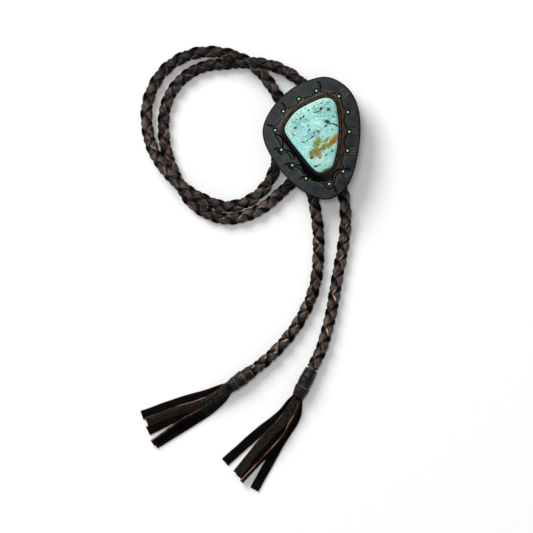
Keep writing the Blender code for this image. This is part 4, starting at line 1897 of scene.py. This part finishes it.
@dataclass
class Stone:
    """The domed turquoise."""

    dome: float = 0.0046
    girdle: float = 0.0006
    swell: float = 0.00005
    settled: float = 0.00008
    tip: float = 0.004
    glint: float = 0.65
    glint_side: float = 125.0
    points: int = 260
    rings: int = 64

    def marks(self, spots: Points, patches: Sequence[Patch]) -> Points:
        """How deep each spot lies in the nearest of some patches, 1 in the middle and 0.5 at its edge.

        Args:
            spots: Places across and up, one a row.
            patches: The patches.

        Returns:
            One value for each spot.
        """
        middle, half = footprint("stone")
        best = np.zeros(len(spots))
        for patch in patches:
            turn = math.radians(patch.turn)
            along = np.array([math.cos(turn), math.sin(turn)])
            aside = np.array([-along[1], along[0]])
            away = spots - middle - half * (patch.across, patch.up)
            reach = np.hypot(away @ along / (patch.length * half[0]), away @ aside / (patch.width * half[0]))
            best = np.maximum(best, 1 - 0.5 * reach)
        return np.clip(best, 0, 1)

    def build(self) -> bpy.types.Object:
        """The stone as one polished mesh.

        Returns:
            The stone.
        """
        low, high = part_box("stone")
        girdle = high.z - self.dome
        loop = fitted_loop(STONE_OUTLINE, (low, high), self.points)
        middle = loop.mean(axis=0)
        rows = [at_height(loop, height) for height in (low.z, girdle - self.girdle, girdle)]
        for share in steps(self.rings):
            size = max(1 - share, self.tip)
            height = girdle + self.dome * math.sqrt(1 - size**2)
            rows.append(at_height(middle + (loop - middle) * size, height))
        rings = np.array(rows)
        shape = rings.shape[:2]
        spots = rings[:, :, :2].reshape(-1, 2)
        rings[3:, :, 2] += ripple(spots, 0.008, 11).reshape(shape)[3:] * self.swell - self.settled
        sheet = Sheet("turquoise_stone", rings)
        inset = np.concatenate([np.zeros(3), steps(self.rings)])[:, None]
        sheet.field("inset", inset)
        lit = facing(rings, middle, self.glint_side, 0.1, 0.9)
        sheet.field("brink", lit * ramp(inset, 0.04, 0.02) * self.glint)
        for name, patches in PATCHES.items():
            sheet.field(name, self.marks(spots, patches).reshape(shape))
        return seat(sheet.place(TurquoiseFinish()), "stone")


@dataclass
class Stud:
    """One of the small green domes, in its punched seat."""

    node: str
    shank: float = 0.34
    foot: float = 0.94
    last_turn: float = 88.0
    sides: int = 28
    rings: int = 9

    def build(self) -> bpy.types.Object:
        """The dome on its short shank.

        Returns:
            The stud.
        """
        low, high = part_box(self.node)
        middle, (radius, _) = footprint(self.node)
        turns = circle_turns(self.sides)
        circle = np.stack([np.cos(turns), np.sin(turns)], axis=1)
        shank = (high.z - low.z) * self.shank
        rows = [at_height(middle + circle * radius * self.foot, low.z)]
        # How high each ring is on the dome, which places the painted highlight.
        crown_highlight = [0.0]
        for turn in np.radians(np.linspace(0, self.last_turn, self.rings)):
            height = low.z + shank + (high.z - low.z - shank) * math.sin(turn)
            rows.append(at_height(middle + circle * radius * math.cos(turn), height))
            crown_highlight.append(math.sin(turn))
        sheet = Sheet(self.node.replace("stud", "stud_dome"), np.array(rows))
        sheet.field("crown_highlight", np.array(crown_highlight)[:, None])
        return seat(sheet.place(EnamelFinish()), self.node)


@dataclass(frozen=True)
class Turn:
    """One turn of a wrap.

    Its start is a share of the wrap's length, its lip and tail are shares of the radius, and its slant is in
    degrees. The lip shows the raw cut edge, or is dyed over.
    """

    start: float
    lip: float
    tail: float
    slant: float = 0.0
    raw: bool = True


@dataclass
class Wrap:
    """A leather strap wound round the end of a tail in overlapping turns."""

    side: str
    end: tuple[float, float, float]
    heading: float
    length: float
    turns: tuple[Turn, ...]
    diameter: float = 0.0093
    gap: float = 0.0003
    lip_face: float = 0.00055
    lip_rise: float = 0.10
    bulge: float = 0.02
    unevenness: float = 0.02
    end_radii: Pair = (0.3, 0.2)
    points: int = 96
    lip_rows: int = 4
    turn_rows: int = 11

    def directions(self) -> tuple[Points, Points]:
        """Along the wrap, and aside to the left.

        Returns:
            The two directions.
        """
        turn = math.radians(self.heading)
        along = np.array([math.cos(turn), math.sin(turn), 0.0])
        return along, np.array([-along[1], along[0], 0.0])

    def outwards(self, count: int) -> Points:
        """Directions out from the wrap's axis, evenly round it from the top.

        Args:
            count: How many to take.

        Returns:
            The directions, one a row.
        """
        _, aside = self.directions()
        turns = circle_turns(count)[:, None]
        return np.sin(turns) * aside + np.cos(turns) * UPWARDS

    def start(self) -> Points:
        """Where the wrap begins, on its own axis.

        Returns:
            The place.
        """
        place = np.array(self.end) + self.directions()[0] * self.gap
        place[2] = self.diameter / 2
        return place

    def finish(self) -> Points:
        """Where the tassel begins, on the wrap's axis."""
        return self.start() + self.directions()[0] * (self.length + self.gap)

    def profile(self) -> tuple[Points, Points, Points, Points]:
        """Places along, radii, slants and how close each row is to a lip.

        Returns:
            One row of values for each of these.
        """
        rows = [(0.0, self.end_radii[0], 0.0, 0.0)]
        ends = [turn.start for turn in self.turns[1:]] + [1.0]
        for turn, end in zip(self.turns, ends):
            begin, finish = turn.start * self.length, end * self.length
            for share in np.linspace(0, 1, self.lip_rows + 1):
                radius = turn.lip - self.lip_rise * (1 - share) ** 2
                rows.append((begin + self.lip_face * share, radius, turn.slant, 1.0 if turn.raw else 0.6))
            for share in steps(self.turn_rows):
                place = begin + self.lip_face + (finish - begin - self.lip_face) * share
                radius = turn.lip + (turn.tail - turn.lip) * share + self.bulge * math.sin(math.pi * share)
                rows.append((place, radius, turn.slant, max(0.0, 0.5 - share * 5)))
        rows.append((self.length, self.end_radii[1], self.turns[-1].slant, 0.0))
        return tuple(np.array(rows).T)

    def build(self) -> bpy.types.Object:
        """The wrap as one mesh.

        Returns:
            The wrap.
        """
        ahead, _ = self.directions()
        along, radii, slants, lips = self.profile()
        turns = circle_turns(self.points)
        radius = radii[:, None] * self.diameter / 2
        place = along[:, None] + np.tan(np.radians(slants))[:, None] * radius * np.sin(turns)
        uneven = ripple(np.stack([place.ravel(), np.tile(turns * 0.004, len(along))], axis=1), 0.005, 4)
        radius = radius * (1 - self.unevenness - self.unevenness * uneven.reshape(place.shape))
        rings = self.start() + ahead * place[:, :, None] + self.outwards(self.points) * radius[:, :, None]
        sheet = Sheet(f"wound_wrap_{self.side}", rings)
        sheet.field("raised", (lips * 0.9)[:, None])
        sheet.field("raw", 1.0)
        edge = (lips[:-1] + lips[1:] > 1.9).astype(int)
        sheet.finish_faces(edge[:, None])
        return seat(sheet.place(WRAP_GRAIN, WRAP_EDGE), f"wrap_{self.side}")


class Face(Enum):
    """The faces of a strip, numbered as its finishes are."""

    GRAIN = 0
    EDGE = 1
    SUEDE = 2


@dataclass(frozen=True)
class Strip:
    """A strip of a tassel: its roll in degrees, its stations, the face it shows, and how raw its edges are.

    A station is reach, aside and height: shares of the tassel's length, and of a strip's width and thickness.
    How raw its edges are is given for the right edge, looking outwards along it, and then for the left one.
    Up to a share of its length it shows its split side all round. Its root is pinched to a share of its
    width.
    """

    roll: float
    stations: tuple[tuple[float, float, float], ...]
    face: Face = Face.GRAIN
    raw: Pair = (0.0, 0.0)
    split_until: float = 0.0
    pinch: float = 0.6


LEFT_STRIPS = (
    Strip(
        0,
        ((0.02, -0.35, 4.4), (0.18, -0.63, 2.2), (0.34, -1.20, 0.7), (0.52, -1.85, 0.5), (0.92, -3.04, 0.5)),
    ),
    Strip(
        0,
        ((0.02, 0.00, 5.0), (0.21, -0.10, 4.2), (0.38, -0.46, 2.2), (0.58, -1.18, 1.35), (0.92, -2.14, 1.35)),
        face=Face.SUEDE,
        raw=(1.0, 0.0),
        pinch=1.3,
    ),
    Strip(
        0,
        ((0.03, 0.15, 2.6), (0.24, 0.20, 1.3), (0.44, -0.20, 0.5), (0.64, -0.72, 0.5), (0.965, -1.30, 0.5)),
    ),
    Strip(
        -48,
        ((0.03, 0.20, 4.0), (0.23, 0.38, 3.6), (0.41, 0.36, 2.3), (0.60, 0.10, 2.2), (1.00, 0.05, 2.2)),
        raw=(1.0, 0.0),
        split_until=0.42,
    ),
    Strip(
        0,
        ((0.03, 0.30, 2.0), (0.18, 0.62, 1.2), (0.36, 0.74, 0.5), (0.57, 0.62, 0.5), (0.985, 0.33, 0.5)),
        split_until=0.42,
    ),
)
RIGHT_STRIPS = (
    Strip(
        0,
        ((0.03, -0.40, 3.6), (0.18, -0.60, 2.0), (0.31, -1.15, 0.8), (0.48, -2.05, 0.5), (0.89, -3.84, 0.5)),
    ),
    Strip(
        0,
        ((0.04, -0.05, 5.2), (0.18, -0.10, 4.4), (0.33, -0.45, 2.5), (0.5, -1.07, 1.35), (0.94, -2.14, 1.35)),
        face=Face.SUEDE,
        raw=(0.4, 0.5),
    ),
    Strip(
        0,
        ((0.03, 0.10, 2.6), (0.17, 0.25, 1.5), (0.33, 0.00, 0.5), (0.52, -0.45, 0.5), (0.96, -1.70, 0.5)),
    ),
    Strip(
        -74,
        ((0.02, 0.35, 4.0), (0.13, 0.62, 3.3), (0.26, 0.55, 2.5), (0.43, 0.45, 2.4), (0.99, -1.34, 2.4)),
        raw=(0.7, 0.0),
    ),
    Strip(
        0,
        ((0.02, 0.30, 2.0), (0.12, 0.70, 1.2), (0.26, 0.80, 0.5), (0.46, 0.55, 0.5), (1.00, 0.27, 0.5)),
    ),
)


@dataclass
class Tassel:
    """Five leather strips that come out of a wrap and splay on the surface."""

    wrap: Wrap
    length: float
    strips: tuple[Strip, ...]
    strip_width: float = 0.0056
    strip_thickness: float = 0.0013
    head_length: float = 0.0040
    head_share: float = 0.72
    head_taper: float = 0.35
    head_folds: int = 5
    root_height: float = 3.5
    unevenness: float = 0.03
    tuck: float = 0.0020
    floor_gap: float = 0.00002
    sections: int = 96
    coarse_sections: int = 11
    head_sides: int = 28
    head_rows: int = 8

    def line(self, strip: Strip) -> Points:
        """A strip's centre line, smoothed from the sections that its solid has.

        Args:
            strip: The strip.

        Returns:
            The line's points.
        """
        ahead, aside = self.wrap.directions()
        root = self.wrap.finish() * (1.0, 1.0, 0.0)
        _, apart, high = strip.stations[0]
        stations = ((-self.tuck / self.length, apart * 0.5, (high + self.root_height) / 2), *strip.stations)
        out, across, above = ahead * self.length, aside * self.strip_width, UPWARDS * self.strip_thickness
        points = [root + out * reach + across * apart + above * high for reach, apart, high in stations]
        coarse = open_curve(points, self.coarse_sections)
        roll = math.radians(strip.roll)
        rest = (self.strip_width * abs(math.sin(roll)) + self.strip_thickness * math.cos(roll)) / 2
        coarse[:, 2] = np.maximum(coarse[:, 2], rest)
        return open_curve(coarse, self.sections)

    def section(self) -> Points:
        """Places of a strip's section across and through it, and how scuffed each is, one column each.

        Returns:
            One row for each place, going round.
        """
        half, deep = self.strip_width / 2, self.strip_thickness / 2
        soft = deep * 0.5
        return np.array(
            [
                (-half + soft, deep, 1.0),
                (-half * 0.5, deep, 0.25),
                (0.0, deep, 0.1),
                (half * 0.5, deep, 0.25),
                (half - soft, deep, 1.0),
                (half, deep - soft, 0.6),
                (half, -deep + soft, 0.3),
                (half - soft, -deep, 0.3),
                (0.0, -deep, 0.0),
                (-half + soft, -deep, 0.3),
                (-half, -deep + soft, 0.3),
                (-half, deep - soft, 0.6),
            ]
        )

    def faces(self, strip: Strip, share: Points) -> Points:
        """Which finish each face of a strip has, along it and round its section.

        Args:
            strip: The strip.
            share: How far along the strip each of its sections is.

        Returns:
            The finishes' numbers.
        """
        corner = Face.EDGE if abs(strip.roll) < 60 else strip.face
        shown, side, under = [strip.face] * 4, [corner, Face.EDGE, corner], [Face.GRAIN] * 2
        kinds = np.array([face.value for face in (*shown, *side, *under, *side)])
        split = (share[1:] < strip.split_until)[:, None]
        return np.where(split, Face.SUEDE.value, np.roll(kinds[::-1], -1))

    def strip(self, number: int, strip: Strip) -> bpy.types.Object:
        """One strip.

        Args:
            number: Its number, from 1.
            strip: Its stations and faces.

        Returns:
            The strip.
        """
        line = self.line(strip)
        heading = unit(np.gradient(line, axis=0) * (1.0, 1.0, 0.0))
        roll = math.radians(strip.roll)
        side = np.cross(UPWARDS, heading) * math.cos(roll) + UPWARDS * math.sin(roll)
        normal = np.cross(heading, side)
        across, through, raised = self.section().T
        share = np.linspace(0, 1, len(line))
        pinch = strip.pinch + (1 - strip.pinch) * ramp(share, 0.02, 0.2)
        wave = (1 + self.unevenness * ripple(line, 0.012, number + 20)) * pinch
        wide = across[:, None] * wave[:, None, None]
        rings = line[:, None] + side[:, None] * wide + normal[:, None] * through[:, None]
        rings[:, :, 2] = np.maximum(rings[:, :, 2], self.floor_gap)
        sheet = Sheet(f"strip_{self.wrap.side}_{number}", rings[:, ::-1])
        sheet.field("raised", raised[::-1])
        sheet.field("raw", np.where(across < 0, *strip.raw)[::-1])
        sheet.finish_faces(self.faces(strip, share))
        return sheet.place(STRIP_GRAIN, STRIP_EDGE, STRIP_SUEDE)

    def head(self) -> bpy.types.Object:
        """The short bundle where the strips come out of the wrap.

        Returns:
            The bundle.
        """
        ahead, _ = self.wrap.directions()
        out = self.wrap.outwards(self.head_sides)
        folds = 0.96 + 0.04 * np.cos(self.head_folds * circle_turns(self.head_sides))
        radius = self.wrap.diameter / 2 * self.head_share
        rings = []
        for share in np.linspace(0, 1, self.head_rows):
            size = radius * (1 - self.head_taper * share) * folds
            reach = (self.head_length + self.tuck) * share - self.tuck
            rings.append(self.wrap.finish() + ahead * reach + out * size[:, None])
        sheet = Sheet(f"head_{self.wrap.side}", np.array(rings))
        sheet.field("raised", 0.0)
        return sheet.place(STRIP_GRAIN, STRIP_EDGE, STRIP_SUEDE)

    def build(self) -> bpy.types.Object:
        """The tassel as one mesh.

        Returns:
            The tassel.
        """
        things = [self.strip(number, strip) for number, strip in enumerate(self.strips, start=1)]
        tassel = join_meshes(f"strip_tassel_{self.wrap.side}", [*things, self.head()])
        return seat(tassel, f"tassel_{self.wrap.side}")


@dataclass
class Clip:
    """The hidden clip behind the slide, shown as its own solid."""

    node: str = "cord_clip"

    def build(self) -> bpy.types.Object:
        """The clip in brushed steel.

        Returns:
            The clip.
        """
        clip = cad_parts[self.node]
        clip.data.materials.clear()
        clip.data.materials.append(material_for(SteelFinish()))
        LOG.info("%s: shown as its own solid", clip.name)
        return clip


def main() -> None:
    """Builds the studio and the tie."""
    logging.basicConfig(level=logging.INFO, format="%(name)s: %(message)s")
    Studio().build()
    BraidedCord().build()
    Slide().build()
    Rim().build()
    Stone().build()
    for node in STUDS:
        Stud(node).build()
    left = Wrap(
        "left",
        CORD_ROUTE[0],
        heading=215.7,
        length=0.0155,
        turns=(
            Turn(0.00, 0.89, 0.84, slant=-1.4),
            Turn(0.35, 1.00, 0.90, slant=2.8),
            Turn(0.71, 0.96, 0.78, slant=3.5),
        ),
    )
    right = Wrap(
        "right",
        CORD_ROUTE[-1],
        heading=243.4,
        length=0.0186,
        turns=(
            Turn(0.00, 0.82, 0.90, raw=False),
            Turn(0.33, 0.97, 0.87, slant=2.0, raw=False),
            Turn(0.63, 1.00, 0.80, slant=3.0),
        ),
    )
    for wrap, length, strips in ((left, 0.0575, LEFT_STRIPS), (right, 0.0610, RIGHT_STRIPS)):
        wrap.build()
        Tassel(wrap, length, strips).build()
    Clip().build()


if __name__ == "__main__":
    main()
